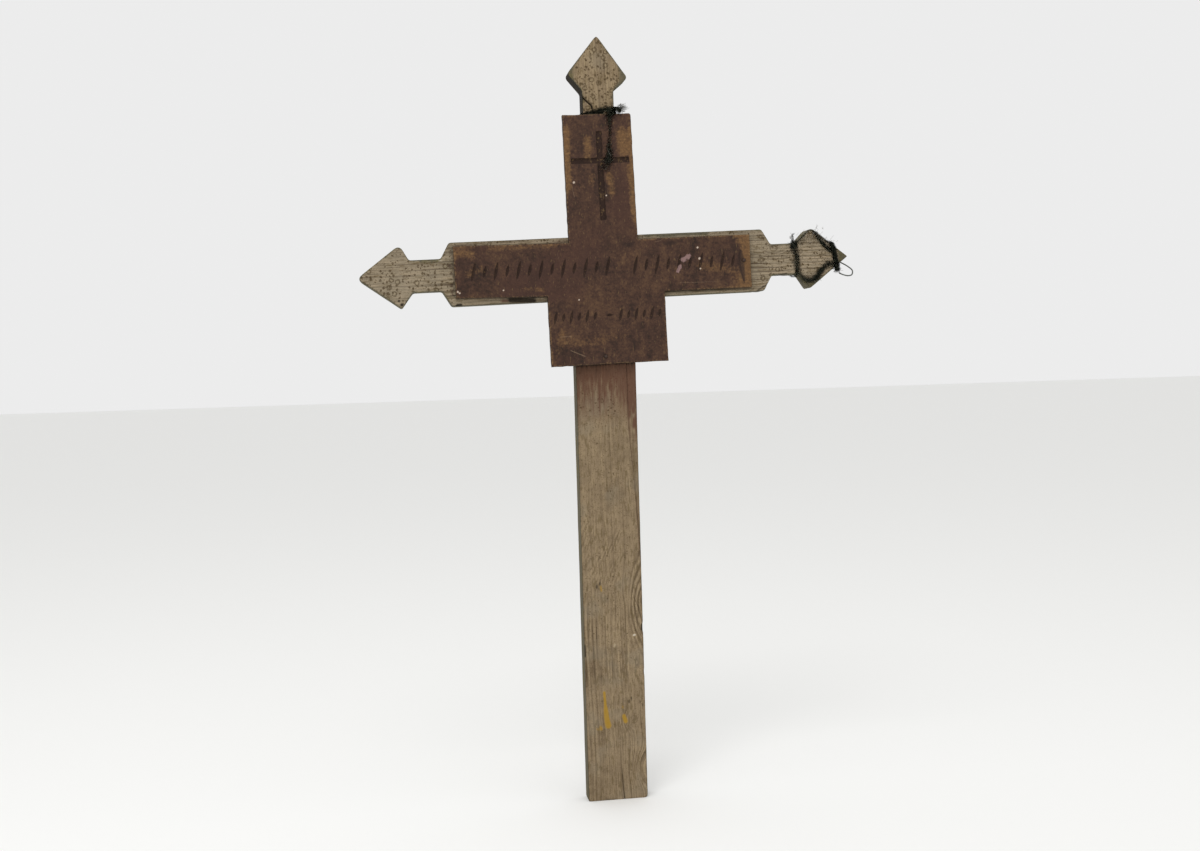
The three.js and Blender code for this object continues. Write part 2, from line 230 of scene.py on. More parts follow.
def new_piece(name, points, faces, material, smooth=38, **attributes):
    """A mesh object from points in millimetres and faces, with one number per point for each
    attribute. It rides on the cross, is smooth but for edges sharper than the angle, in degrees."""
    mesh = bpy.data.meshes.new(name)
    mesh.from_pydata(points * MM, [], faces)
    for attribute, values in attributes.items():
        made = mesh.attributes.new(attribute, "FLOAT", "POINT")
        made.data.foreach_set("value", np.broadcast_to(values, len(points)).astype(np.float32))
    mesh.shade_smooth()
    mesh.set_sharp_from_angle(angle=math.radians(smooth))
    mesh.materials.append(material)
    piece = bpy.data.objects.new(name, mesh)
    bpy.context.scene.collection.objects.link(piece)
    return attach(piece, "root")


def colour(code):
    """A screen colour such as "9a8a6c" as the linear numbers that a shader takes: a straight line
    near black and a power of 2.4 above it."""
    parts = [int(code[i:i + 2], 16) / 255 for i in (0, 2, 4)]
    return tuple(c / 12.92 if c < 0.04045 else ((c + 0.055) / 1.055) ** 2.4 for c in parts) + (1,)


class Shade:
    """A socket of a material's nodes that can be used in sums: each operator adds its Math node."""

    def __init__(self, tree, socket=None):
        self.tree, self.socket = tree, socket

    def node(self, kind, values=None, out=0, stops=(), **settings):
        """Adds a node and gives its output: the settings are set first, then a ramp's stops, then
        the value or link of each socket in values."""
        made = self.tree.nodes.new("ShaderNode" + kind)
        for name, value in settings.items():
            setattr(made, name, value)
        for number, (place, shade) in enumerate(stops):
            elements = made.color_ramp.elements
            stop = elements[number] if number < 2 else elements.new(place)
            stop.position, stop.color = place, shade
        for key, value in (values or {}).items():
            if isinstance(value, Shade):
                self.tree.links.new(value.socket, made.inputs[key])
            else:
                made.inputs[key].default_value = value
        return Shade(self.tree, made.outputs[out])

    def maths(self, operation, *others, clamp=False):
        """This value and the others, put through one Math node."""
        return self.node("Math", dict(enumerate((self, *others))), operation=operation, use_clamp=clamp)

    def __add__(self, other):
        return self.maths("ADD", other)

    def __sub__(self, other):
        return self.maths("SUBTRACT", other)

    def __rsub__(self, other):
        return self.node("Math", {0: other, 1: self}, operation="SUBTRACT")

    def __mul__(self, other):
        return self.maths("MULTIPLY", other)

    __radd__, __rmul__ = __add__, __mul__

    def most(self, other):
        """The greater of the two, at each point."""
        return self.maths("MAXIMUM", other)

    def step(self, start, end, low=0, high=1):
        """low below start and high above end, with a smooth step between; start may be the greater."""
        if end < start:
            start, end, low, high = end, start, high, low
        bounds = {0: self, 1: start, 2: end, 3: low, 4: high}
        return self.node("MapRange", bounds, interpolation_type="SMOOTHSTEP")

    def under(self, cover, mask):
        """This colour with another laid over it as far as the mask says."""
        return self.node("Mix", {0: mask, 6: self, 7: cover}, out=2, data_type="RGBA")

    def times(self, tint, mask):
        """This colour darkened by a tint as far as the mask says."""
        return self.node("Mix", {0: mask, 6: self, 7: tint}, out=2, data_type="RGBA", blend_type="MULTIPLY")

    def noise(self, place, scale, detail=3, rough=0.5, out=0):
        """Cloudy noise from 0 to 1, or a colour of three such noises."""
        values = {"Vector": place, "Scale": scale, "Detail": detail, "Roughness": rough}
        return self.node("TexNoise", values, out=out)

    def field(self, name):
        """The piece's own number of that name, from point to point."""
        return self.node("Attribute", out="Fac", attribute_name=name)

    def stretched(self, place, scale):
        """The place scaled along each axis, so that a noise on it is drawn out."""
        return self.node("Mapping", {"Vector": place, "Scale": scale})


def new_material(name):
    """An empty material and a Shade to start its nodes from."""
    material = bpy.data.materials.new(name)
    material.use_nodes = True
    material.node_tree.nodes.clear()
    return material, Shade(material.node_tree)


def close_material(start, **sockets):
    """The surface of a material: its main shader's sockets, by name with _ for a space."""
    surface = start.node("BsdfPrincipled", {key.replace("_", " "): value for key, value in sockets.items()})
    end = start.tree.nodes.new("ShaderNodeOutputMaterial")
    start.tree.links.new(surface.socket, end.inputs["Surface"])


def weathered_wood(name, grain_turn, pale, mid, deep):
    """Old softwood: growth rings from the piece's own attribute, fine fibres and dashes along the grain,
    lichen as dots and rings, and the stains, moss, dirt, painted shade and paint that attributes place."""
    material, start = new_material(name)
    place = start.node("TexCoord", out="Object")
    turned = start.node("Mapping", {"Vector": place, "Rotation": (0, grain_turn, 0)})
    fibres = start.noise(start.stretched(turned, (1000, 1000, 22)), 0.9, 3, 0.6)
    dashes = start.noise(start.stretched(turned, (430, 430, 95)), 1.0, 2, 0.5)
    rings, ribbed, red, dirt_and_shade_field = (start.field(field) for field in ("rings", "ribbed", "red", "dirt"))
    moss, lichen, paint, figure = (start.field(field) for field in ("moss", "lichen", "paint", "figure"))
    long_way = start.node("SeparateXYZ", {"Vector": turned}, out="Z")
    ring_place = start.node("CombineXYZ", {"X": rings, "Y": long_way * 9})
    ring_lines = start.noise(ring_place, 0.42, 3, 0.62)
    clouds = start.noise(place, 16, 4, 0.6)
    mottle = start.noise(place, 115, 4, 0.65)
    speckle = start.noise(place, 620, 2, 0.6)

    tone = (ring_lines - 0.5) * (ribbed * 1.2 + 0.2) + fibres * 0.36 + clouds * 0.4 + mottle * 0.4 - 0.08
    tone = tone + figure * 0.16
    wood = start.node("ValToRGB", {"Fac": tone}, stops=[(0.3, deep), (0.7, pale), (0.5, mid)])
    late = ring_lines.step(0.46, 0.36) * fibres.step(0.3, 0.6) * (ribbed * 0.8 + 0.1)
    wood = wood.times(colour("8f8373"), late)
    wood = wood.times(colour("8f8071"), (figure * (0.6 + fibres * 0.8)).step(-0.1, -0.9) * 0.7)
    wood = wood.under(colour("a8977b"), figure.step(0.15, 0.7) * fibres.step(0.35, 0.6) * 0.35)
    wood = wood.under(colour("625235"), dashes.step(0.54, 0.66) * 0.56)
    wood = wood.times(colour("a89d86"), speckle.step(0.54, 0.7) * 0.62)
    grey = start.noise(place, 30, 3, 0.5).step(0.5, 0.68)
    wood = wood.under(colour("857b69"), grey * 0.3)

    warp = start.noise(place, 300, 2, 0.5, out="Color")
    loose = start.node("Mix", {0: 0.004, 6: place, 7: warp}, out=2, data_type="RGBA", blend_type="ADD")

    def scattered(scale, channel):
        """Spots at scattered places: the distance from the nearest, and the chance it drew."""
        spot = {"Vector": loose, "Scale": scale}
        distance = start.node("TexVoronoi", spot, out="Distance")
        drawn = start.node("TexVoronoi", spot, out="Color")
        return distance, start.node("SeparateColor", {"Color": drawn}, out=channel)

    dots, dot_luck = scattered(245.0, 0)
    hoops, hoop_luck = scattered(98.0, 1)
    dot_mask = ((dot_luck * 0.26 + 0.12) * lichen - dots).step(-0.03, 0.07)
    grown = (hoop_luck * lichen).step(0.82, 0.98)
    crust = (hoops - 0.26).maths("ABSOLUTE").step(0.12, 0.04) * grown
    growth = dot_mask.most(crust * 0.85) * speckle.step(0.3, 0.5, 0.5, 1)
    wood = wood.under(colour("9a8b6c"), (hoops - 0.1).step(0.12, 0.02) * grown * 0.2)
    wood = wood.under(colour("453620"), growth * 0.82)
    wood = wood.under(colour("c0b6a6"), figure.step(1.5, 2.2))

    streaks = (ring_lines * 0.6 + fibres * 0.55 - 0.05).step(0.38, 0.62)
    wood = wood.under(colour("57382b"), (red * (0.5 + streaks * 0.5 + mottle * 0.3)).step(0.06, 1.0) * 0.86)
    moss_cloud = start.noise(place, 190, 4, 0.65)
    moss_mask = (moss + moss_cloud * 0.9 - 0.72).step(0.05, 0.5)
    green = start.noise(place, 60, 3, 0.6).step(0.48, 0.72)
    mosses = start.node("Mix", {0: green, 6: colour("514f40"), 7: colour("5c5530")}, out=2, data_type="RGBA")
    wood = wood.under(mosses, moss_mask * 0.8)
    yellow = (paint * 1.1 + fibres * 0.35 + mottle * 0.5 - 0.55).step(0.05, 0.6)
    wood = wood.under(colour("a07c1e"), yellow * 0.85)
    # Near black where the dirt attribute says: dirt, and painted shade in the cuts, under the name board and
    # on the finial's left side.
    dirt = (dirt_and_shade_field * (0.65 + fibres * 0.7)).step(0.05, 0.95)
    wood = wood.under(colour("1d160f"), dirt * 0.93)

    height = ring_lines * (ribbed * 0.5 + 0.15) + fibres * 0.4 + dashes * 0.25
    height = height + speckle * 0.15 - growth * 0.15
    bump = start.node("Bump", {"Height": height, "Strength": 0.6, "Distance": 0.0008})
    rough = 0.97 - yellow * 0.25 - clouds * 0.08
    close_material(start, Base_Color=wood, Roughness=rough, Normal=bump, Specular_IOR_Level=0.25)
    return material


post_wood = weathered_wood("post_wood", 0, colour("9a876a"), colour("86745b"), colour("685843"))

wide = POST_WIDTH / 2
post_outline = rounded([
    (0, -wide, FOOT_ROUND[0]), *spade_corners(TOP_SPADE, POST_WIDTH), (0, wide, FOOT_ROUND[1]),
])
post_tip = post_outline[:, 0].max()
lap = BAR_WIDTH / 2 + LAP_GAP
stations = np.unique(np.concatenate([
    [0, 0.5, 1.2, 2.2], np.linspace(3, 590, 262), np.linspace(590, 886, 46),
    np.linspace(886, post_tip - 6, 84), post_tip - 6 * np.linspace(1, 0, 8) ** 2,
    [BAR_HEIGHT - lap, BAR_HEIGHT - lap + 0.4, BAR_HEIGHT + lap - 0.4, BAR_HEIGHT + lap],
]))
edge_steps = np.array([0, 0.35, 0.8, 1.4, 2.2])
columns = np.concatenate([-1 + edge_steps / wide, np.linspace(-1, 1, 100)[3:-3], 1 - edge_steps[::-1] / wide])
layers = np.array([-1, -0.975, -0.93, -0.87, -0.72, -0.45, 0, 0.45, 0.72, 0.87, 0.93, 0.975, 1])


def post_arris(z):
    """The radius of the post's long arrises: wavy, and worn rounder near the ground."""
    return POST_ARRIS + 0.5 * hills(z, 0 * z, 11, 23, 9) + 0.4 * ramp(z, 60, 0)


post = eased_block(post_outline, stations, columns, layers, post_arris)
x, y, z = post["across"], post["through"], post["along"]
front, rim = post["front"], post["edge"]
rings = growth_rings(x, y, z, POST_PITH, POST_KNOTS, 5)

# The bar lies in a notch half as deep as the post, square with the bar.
NOTCH_KEEPS = 0.004
in_notch = (abs(z - BAR_HEIGHT) < lap - 0.2) & (y < LAP_GAP)
y = np.where(in_notch, LAP_GAP + (y - LAP_GAP) * NOTCH_KEEPS, y)
z = z + ramp(abs(z - BAR_HEIGHT), 110, 60) * x * math.tan(BAR_TILT)

# Marks cut or broken into its front. In all tables of marks, points are (across, up).
KNOT_HEARTS = [(1, 4, (24.2, 105), (24.4, 108)), (1, 3, (40.9, 243), (41.1, 246))]
CHIPS = [(1, 2.4, (39.4, 226), (39.4, 231.6)), (1, 1.8, (40.4, 168), (40.4, 170))]
SPECKS = [(1, 1, (across, up), (across + 0.1, up + length)) for across, up, length in [
    (-20.5, 284, 4), (-16.4, 287.5, 3), (21.3, 132, 4), (18, 129, 3), (36.4, 123, 3), (-38.9, 194, 15),
    (33, 128, 2),
]]
WHITE_NICKS = [(4, 1.1, (0, 206.2), (1.4, 206.8)), (4, 0.9, (26.6, 218.8), (29, 219.6))]

rib = hills(rings, z, 21, 1.7, 60) * 0.55 + hills(rings, z, 22, 3.9, 130) * 0.45
ribbed = 0.45 * zone(z, 158, 172, 200, 214) + 0.5 * zone(z, 200, 225, 250, 300) + 0.3 * ramp(z, 150, 90)
ribbed = ribbed + 0.35 * ramp(z, 880, 930) + 0.4 * near_line(x, z, [(44, 10), (44, 60)], 22)
ribbed = np.clip(ribbed + 0.16, 0, 1)
split = near_line(z, x, SPLIT, 0.62) * ramp(z, 312, 345)
foot_crack = near_line(z, x, FOOT_CRACK, 0.7) * ramp(z, 55, 25)
slip = near_line(x, z, SAW_SLIP, 1.0) * ramp(z, 906, 912)
below_slip = ramp(np.interp(x, *np.array(SAW_SLIP)[1:4].T) - z, 0.2, 1.6) * ramp(x, -7.5, -9.5)
near_front = ramp(y, -7, -11.5)
knots = marks(x, z, KNOT_HEARTS)
specks = marks(x, z, SPECKS) * near_front
chips = marks(x, z, CHIPS) * near_front

# The figure of the grain that shows from afar: arcs round a knot off the right edge, slanting
# lines beside them, and straight ribs below a cut across the grain.
ARC_MIDDLE, ARC_STRETCH, ARC_PITCH = (48, 258), 2.7, 4.6
SLANT, SLANT_PITCH = (0.9, -0.4), 4.4
swirl = np.hypot(x - ARC_MIDDLE[0], (z - ARC_MIDDLE[1]) / ARC_STRETCH) + 0.7 * hills(x, z, 26, 9, 24)
arcs = even_lines(swirl + 1.6 * hills(x, z, 19, 13, 30), ARC_PITCH) * ramp(swirl, 36, 20) * ramp(z, 150, 200)
slant = even_lines(SLANT[0] * x + SLANT[1] * z + 4 * hills(x, z, 28, 12, 34), SLANT_PITCH)
slant = slant * (0.5 + 0.7 * hills(x, z, 18, 8, 14)) * zone(z, 240, 292, 340, 402) * ramp(x, 24, 8)
rib_zone = zone(z, 142, 176, 204, 209) * ramp(x, 24, 10)
ribs = (0.9 * hills(x, z, 27, 1.6, 140) - 0.1) * rib_zone * (0.8 + 0.5 * hills(x, z, 17, 5, 12))
fine_lines = hills(x, z, 29, 1.8, 60) * zone(z, 470, 560, 570, 600)
figure = 0.62 * arcs + 0.5 * slant + 0.85 * ribs + 0.35 * fine_lines + marks(x, z, WHITE_NICKS)

# Relief, always inwards: ribs of late wood, waves of the saw, cracks, knots and chips.
sunk = 0.1 + 0.17 * rib * ribbed + 0.16 * (hills(x, z, 23, 26, 170) + 1) + 0.1 * (1 - np.clip(figure, -1, 1))
sunk = sunk + 1.1 * split + 1.8 * foot_crack + 5 * slip + 0.7 * below_slip
sunk = sunk + 0.5 * knots + 0.9 * specks + 1.6 * chips
back_sunk = 0.12 + 0.11 * rib + 0.2 * (hills(x, z, 24, 30, 150) + 1)
side_sunk = 0.04 + 0.06 * rib + 0.09 * (hills(y, z, 25, 14, 60) + 1) + 1.4 * chips + 0.5 * specks
x, y = press_in(post, x, y, sunk, back_sunk, side_sunk)

# Red-brown run down from the board, in streaks, along the split and by both edges.
UNDER_BOARD = 579
below = UNDER_BOARD + x * math.tan(BAR_TILT) - z
streaks = 0.5 + 0.5 * hills(x, z, 31, 3.2, 60)
dashes = 0.5 + 0.5 * hills(x, z, 30, 1.8, 9)
red = ramp(below, 98, 10) * (0.15 + 0.6 * streaks + 0.55 * dashes)
red = red + 0.7 * ramp(below, 26, 3) + 0.2 * ramp(below, 120, 60)
red = red + 0.3 * near_line(z, x, SPLIT, 1.5) * ramp(z, 300, 330)
red = red + 1.1 * ramp(x, 28.2, 30.4) * ramp(z, 440, 510) * (0.45 + 0.5 * hills(x, z, 32, 3.5, 7))
red = red + 0.9 * ramp(x, -33, -38) * ramp(below, 110, 30) * (0.3 + 0.6 * streaks)
red = red + 0.4 * ramp(x, 33, 39) * zone(z, 300, 330, 380, 430) * (0.4 + streaks)
red = red + 0.2 * rib_zone * (0.6 + 0.6 * hills(x, z, 16, 7, 16))
red = np.where(front | (rim < 2) & (y < 5), red, red * 0.2) * ramp(z, 640, 600)
red = red + 0.35 * near_line(x, z, [(-37.6, 120), (-37.6, 230)], 2) * streaks

# Moss on the sides, the back and the finial's shoulders, and lichen on the finial and high up.
MOSS_STREAKS = [(0.5, 3, (28.6, 196), (27.7, 166)), (0.3, 9, (-15, 30), (-13, 24))]
finial = ramp(z, 895, 925)
shoulders = 0.5 * ramp(np.hypot(x - 36, z - 952), 22, 4) + 0.35 * ramp(np.hypot(x + 35, z - 955), 16, 2)
moss = 0.66 * np.where(front, 0, 1) + 0.46 * ramp(rim, 4, 0) + 0.14 * hills(x, z, 33, 20, 60)
moss = moss + finial * (0.34 * ramp(rim, 10, 0) + shoulders) + marks(x, z, MOSS_STREAKS)
lichen = 0.5 + 0.74 * finial + 0.3 * ramp(z, 420, 560) * ramp(x, 25, 5)
lichen = lichen + 0.3 * hills(x, z, 34, 16, 28) * (1 - finial)
lichen = np.clip(lichen - 0.3 * ramp(z, 240, 150), 0, 1.25)

# Near-black darkening: in the cuts, partly dirt and partly painted shade; below the board, painted shadow
# that breaks into streaks lower down; on the finial's left side, painted shade; at the foot, dirt.
# Dark in the cuts, knots and chips: dirt, and painted shade in the cuts.
dirt = 0.34 * split + 0.75 * foot_crack + slip + 0.3 * knots + 0.75 * specks + 1.1 * chips + 0.1 * below_slip
# Painted shadow under the board's lower edge, strongest in the first few millimetres.
dirt = dirt + (0.6 * ramp(below, 4, -2) + 0.42 * ramp(below, 34, 0) * dashes) * ramp(z, 640, 600)
# Painted shade on the finial's left side faces.
dirt = dirt + np.where(post["low"] & (x > -39) & (z > 900), 0.85, 0)
dirt = dirt + 0.3 * ramp(z, 6, 0) * (hills(x, z, 35, 5, 5) + 0.6)
dirt = np.where(front | (rim < 3), dirt, 0.1)

# Yellow paint: one run that widens as it goes down, and spots beside it and above.
PAINT_RUN = [(-14.8, 144), (-14, 128), (-12.8, 112), (-10.6, 100)]
PAINT_SPOTS = [
    (0.95, 2.9, (10.6, 111.5), (12.8, 104.5)), (0.5, 2, (9.6, 125), (9.8, 122)),
    (0.62, 2.4, (-21, 98.5), (-20, 95)), (0.5, 2, (-26, 97), (-24.6, 95)),
    (0.5, 2, (-15.5, 286), (-14.5, 280)),
]
paint = near_line(x, z, PAINT_RUN, 1.7 + 2.5 * ramp(z, 138, 99)) + marks(x, z, PAINT_SPOTS)
new_piece(
    "post_weathered", np.stack([x, y, z], 1), post["faces"], post_wood, rings=rings, ribbed=ribbed,
    red=red, moss=moss, lichen=lichen, dirt=dirt, paint=np.where(front, paint, 0),
    figure=np.where(front, figure, 0),
)
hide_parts("post")


# Crossbar
# The second plank, halved into the front of the post and a little out of square with it. Both of
# its ends are spades, and its grain runs along it.
LEFT_SPADE = {
    "start": 199, "neck": (49, 52), "corner": (64.5, 63), "round": (3, 9), "tip": 119.5, "point": 9,
}
RIGHT_SPADE = {
    "start": 216.3, "neck": (47, 50), "corner": (67.5, 63), "round": (8, 3), "tip": 117.8, "point": 3,
}
BAR_PITH = (-88, 20)
BAR_KNOTS = [(-14, 232, 7, 1.8)]


def from_crossing(along, through, up):
    """Points of the bar's own frame, which leans with it, as points of the post's frame."""
    return np.stack([
        along * math.cos(BAR_TILT) - up * math.sin(BAR_TILT), through,
        BAR_HEIGHT + along * math.sin(BAR_TILT) + up * math.cos(BAR_TILT),
    ], -1)


# Across is measured downwards, so that along, across and through make a right-handed frame.
right_end = spade_corners(RIGHT_SPADE, BAR_WIDTH)
left_end = [(-along, -across, setback) for along, across, setback in spade_corners(LEFT_SPADE, BAR_WIDTH)]
bar_outline = rounded(right_end + left_end)
bar_left, bar_right = bar_outline[:, 0].min(), bar_outline[:, 0].max()
cheek = POST_WIDTH / 2 + LAP_GAP
eased = 6 * np.linspace(1, 0, 8) ** 2
stations = np.unique(np.concatenate([
    bar_left + eased, np.linspace(bar_left + 6, -190, 100), np.linspace(-190, 190, 170),
    np.linspace(190, bar_right - 6, 112), bar_right - eased,
    [-cheek - 0.4, -cheek, cheek, cheek + 0.4],
]))
half_bar = BAR_WIDTH / 2
columns = np.concatenate([
    -1 + edge_steps / half_bar, np.linspace(-1, 1, 92)[3:-3], 1 - edge_steps[::-1] / half_bar,
])


def bar_arris(a):
    """The radius of the bar's long arrises, a little wavy."""
    return 1.6 + 0.5 * hills(a, 0 * a, 12, 21, 9)


def spots(u, v, table, shift=0.2, size=1):
    """The sum of soft round spots, from rows of (across, up, width): each is a very short line."""
    return sum(near_line(u, v, [(p, q), (p + shift, q + shift)], width * size) for p, q, width in table)


bar = eased_block(bar_outline, stations, columns, layers, bar_arris)
down, y, a = bar["across"], bar["through"], bar["along"]
front, rim = bar["front"], bar["edge"]
rings = growth_rings(down, y, a, BAR_PITH, BAR_KNOTS, 8)
in_notch = (abs(a) < cheek + 0.2) & (y > -LAP_GAP)
y = np.where(in_notch, -LAP_GAP + (y + LAP_GAP) * NOTCH_KEEPS, y)

# Its marks, in the bar's own directions: pin holes, a saw mark across the right end of its lower
# edge, a hollow in the left neck and two deep lines of grain at the right.
PIN_HOLES = [(-263.6, -36, 2), (-267, -31, 1.4), (-189, -40.4, 2.4), (-193, -40.6, 2)]
SAW_MARK = [(206.7, -40.1), (214, -36), (226.6, -30.4), (236, -21.6), (248, -19.8)]
HOLLOW = [(-232, 17), (-212, 16)]
DEEP_LINES = [(1, 0.7, (200, 9.5), (258, 10)), (1, 0.6, (200, 4), (240, 5))]
WHITE_SCRAPE = [(-216, 19.6), (-208, 19)]
rib = hills(rings, a, 41, 1.6, 60) * 0.6 + hills(rings, a, 42, 3.4, 130) * 0.4
holes = spots(a, -down, PIN_HOLES, shift=0.5) * ramp(y, -6, -11)
saw_mark = near_line(a, -down, SAW_MARK, 1.1)
hollow = near_line(a, -down, HOLLOW, 5)
deep_lines = marks(a, -down, DEEP_LINES)
sunk = 0.1 + 0.16 * rib + 0.14 * (hills(down, a, 43, 26, 150) + 1)
sunk = sunk + 1.8 * holes + 0.9 * saw_mark + 0.6 * hollow + 0.5 * deep_lines
back_sunk = 0.12 + 0.12 * rib + 0.2 * (hills(down, a, 44, 30, 150) + 1)
side_sunk = 0.04 + 0.05 * rib + 0.08 * (hills(y, a, 45, 14, 60) + 1) + 1.2 * holes + 0.8 * saw_mark
down, y = press_in(bar, down, y, sunk, back_sunk, side_sunk)
up = -down

# What the weather left: moss on the sides, the ends and the tip, lichen towards both ends.
BAR_MOSS = [
    (0.55, 6, (60, 39), (140, 39)), (0.3, 5, (-197, 34), (-196, 20)), (0.5, 6, (279, -36), (284, -34)),
]
ends = ramp(abs(a), 180, 215)
moss = 0.64 * np.where(front, 0, 1) + 0.42 * ramp(rim, 4, 0) + 0.34 * ends * ramp(rim, 9, 0)
moss = moss + 0.14 * hills(down, a, 46, 18, 30) + 0.3 * hollow + 0.75 * ramp(a, 318, 324) * front
moss = moss + marks(a, up, BAR_MOSS)
lichen = 0.4 + 0.8 * ramp(a, -178, -215) + 0.72 * ramp(a, 195, 215) + 0.25 * hills(down, a, 47, 12, 20)
lichen = np.clip(lichen + 0.6 * near_line(a, up, [(-190, 38), (200, 38)], 5), 0, 1.3)

# Dirt and red-brown crumbs gather round the name board, most of all below its left arm. The dark line along
# the board's lower edge and the dark strips under its left arm and beside its left end are painted shadow.
BOARD_MIDDLE = 1.6
BOARD_LOWER_EDGE = ([-194.2, -76, 79.2, 197.5], [-31.4, -34.7, -35, -35.6])
# Painted shadow: a dark strip under the board's left arm and a thin line beside its left end.
SHADOW_STRIPS = [(1.2, 2.9, (-124, -37), (-93, -38.4)), (0.45, 1.1, (-195.4, 33), (-195.4, -28))]
above_edge = up - np.interp(a, *BOARD_LOWER_EDGE)
along_board = ramp(abs(a - BOARD_MIDDLE), 199, 195)
crumbs = near_line(a, up, [(-200, 28), (-198, -26)], 3.2) * ramp(hills(down, a, 48, 2.5, 3), -0.25, 0.3)
dirt = 1.1 * holes + 0.75 * saw_mark + 0.45 * deep_lines + 0.5 * crumbs + marks(a, up, SHADOW_STRIPS)
# Painted shadow: a dark line on the bar right along the board's lower edge.
edge_shadow = 0.6 * np.exp(-(((above_edge + 0.4) / 1.1) ** 2)) * along_board
dirt = dirt + edge_shadow + 0.36 * ramp(a, 316, 323) * front
under_arm = ramp(above_edge, -2, 2) * along_board * (a < -40) * ramp(hills(down, a, 49, 4, 26), -0.2, 0.6)
red = 0.6 * crumbs + 0.5 * under_arm + 0.8 * near_line(a, up, [(-134, -37), (-128, -37)], 3)

# Its grain: even lines along the bar that wander, clearest towards the ends, and one white scrape.
ribbed = np.clip(0.75 + 0.3 * hills(down, a, 50, 20, 90), 0, 1)
figure = even_lines(down + 2.5 * hills(down, a, 31, 10, 75), 3.4) * (0.55 + 0.5 * hills(down, a, 29, 5, 40))
scrape = near_line(a, up, WHITE_SCRAPE, 1.2) * ramp(hills(down, a, 30, 2, 2), -0.4, 0.2)
figure = 0.5 * figure * (0.6 + 0.4 * ends) + 3.4 * scrape
new_piece(
    "crossbar_weathered", from_crossing(a, y, up), bar["faces"],
    weathered_wood("bar_wood", -math.pi / 2 + BAR_TILT, colour("a29179"), colour("8c7f6a"), colour("6e604e")),
    rings=rings, ribbed=ribbed, red=red, moss=moss, lichen=lichen,
    dirt=np.where(front | (rim < 3), dirt, 0.1), paint=0, figure=np.where(front, figure, 0),
)
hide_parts("crossbar")


# Name board
# A thin brown-painted board sawn to a cross with a broad block below its arms. A small cross and
# two rows of leaning strokes are cut into it. The paint has worn back to ochre wood at the edges.
BOARD_THICK = 8
BOARD_BACK = -13.8
BOARD_FRONT = BOARD_BACK - BOARD_THICK
BOARD_LINES = (-194.2, -76, -44.2, 46.9, 79.2, 197.5)
BOARD_ROWS = (-126.4, -35, 34.4, 197.8)
BOARD_SKEW = {"arm_top": (0.8, -1.1), "arm_low": (3.6, 0.3, 0, -0.6), "head": (1, -0.3)}
BOARD_CELL = 0.86
CROSS_GROOVE = {
    "width": 8.2, "depth": 2, "middle": 2.8, "low": 61, "high": 175.7,
    "left": -35.6, "right": 41.3, "beam": 138,
}
STROKE = {"width": 4.6, "depth": 1.8, "lean": math.radians(14)}
SHORT_STROKE = 0.62
FIRST_ROW = {"height": 29, "middle": 0.5, "pitch": 14.6, "groups": ((-170, 13), (42, 10))}
SECOND_ROW = {"height": 20, "middle": -63, "pitch": 10.4, "groups": ((-67, 6), (19, 6))}
DASH = {"length": 9, "middle": 4, "width": 3.4}
NAILS = [(188, 0.6), (-4.2, -116)]
NAIL_DIMPLE = 0.5
NAIL_CRACK = [(184.1, 14), (182.4, 6), (182.6, -6), (184.8, -17), (187.2, -29)]
WALL_DEPTHS = (1.6, 3.2, 5.2, BOARD_THICK)
BROKEN_CORNER = 5.5
# Its outer corners as (number in the lines, number in the rows, way inwards, setback).
BOARD_CORNERS = [
    (1, 0, (1, 1), 2.4), (4, 0, (-1, 1), 1.6), (5, 1, (-1, 1), 1.6), (5, 2, (-1, -1), 2.2),
    (3, 3, (-1, -1), 3.4), (2, 3, (1, -1), 1.6), (0, 2, (1, -1), 1.6), (0, 1, (1, 1), BROKEN_CORNER),
]


def lines_between(marks, cell):
    """Grid lines about a cell apart that pass through every mark."""
    spans = [np.linspace(p, q, round((q - p) / cell) + 1)[:-1] for p, q in zip(marks, marks[1:])]
    return np.concatenate([*spans, [marks[-1]]])


def ease_corner(a, b, corner, inward, setback, broken=False):
    """Moves the points near a square corner onto a curve, or onto a straight break, that starts the
    setback from it on each side. The move fades out inwards over four setbacks."""
    u, v = (a - corner[0]) * inward[0], (b - corner[1]) * inward[1]
    fade = [np.clip(1 - side / (4 * setback), 0, 1) for side in (u, v)]

    def shift(side):
        t = 0.5 + 0.5 * np.clip(side / setback, 0, 1)
        if broken:
            return (1 - t) * setback, (1 - t) * setback
        return np.where(side < setback, t ** 2 * setback - side, 0), (1 - t) ** 2 * setback

    along_u, up_u = shift(u)
    along_v, up_v = shift(v)
    start = shift(0.0)
    move_u = fade[1] * along_u + fade[0] * up_v - fade[0] * fade[1] * start[0]
    move_v = fade[1] * up_u + fade[0] * along_v - fade[0] * fade[1] * start[1]
    inside = (u >= -1e-6) & (v >= -1e-6) & (u < 4 * setback) & (v < 4 * setback)
    return a + np.where(inside, move_u, 0) * inward[0], b + np.where(inside, move_v, 0) * inward[1]


def stroke_depth(a, b, middle_a, middle_b, length, width, lean):
    """Depth of a chisel cut that leans to the right: a V section, full for most of its length and
    drawn out to a point at both ends."""
    p = (a - middle_a) * math.cos(lean) - (b - middle_b) * math.sin(lean)
    q = (a - middle_a) * math.sin(lean) + (b - middle_b) * math.cos(lean)
    reach = np.clip(1 - (abs(q) / (length / 2)) ** 2.2, 0, 1)
    return STROKE["depth"] * np.clip(reach - abs(p) / (width / 2), 0, 1) ** 0.8


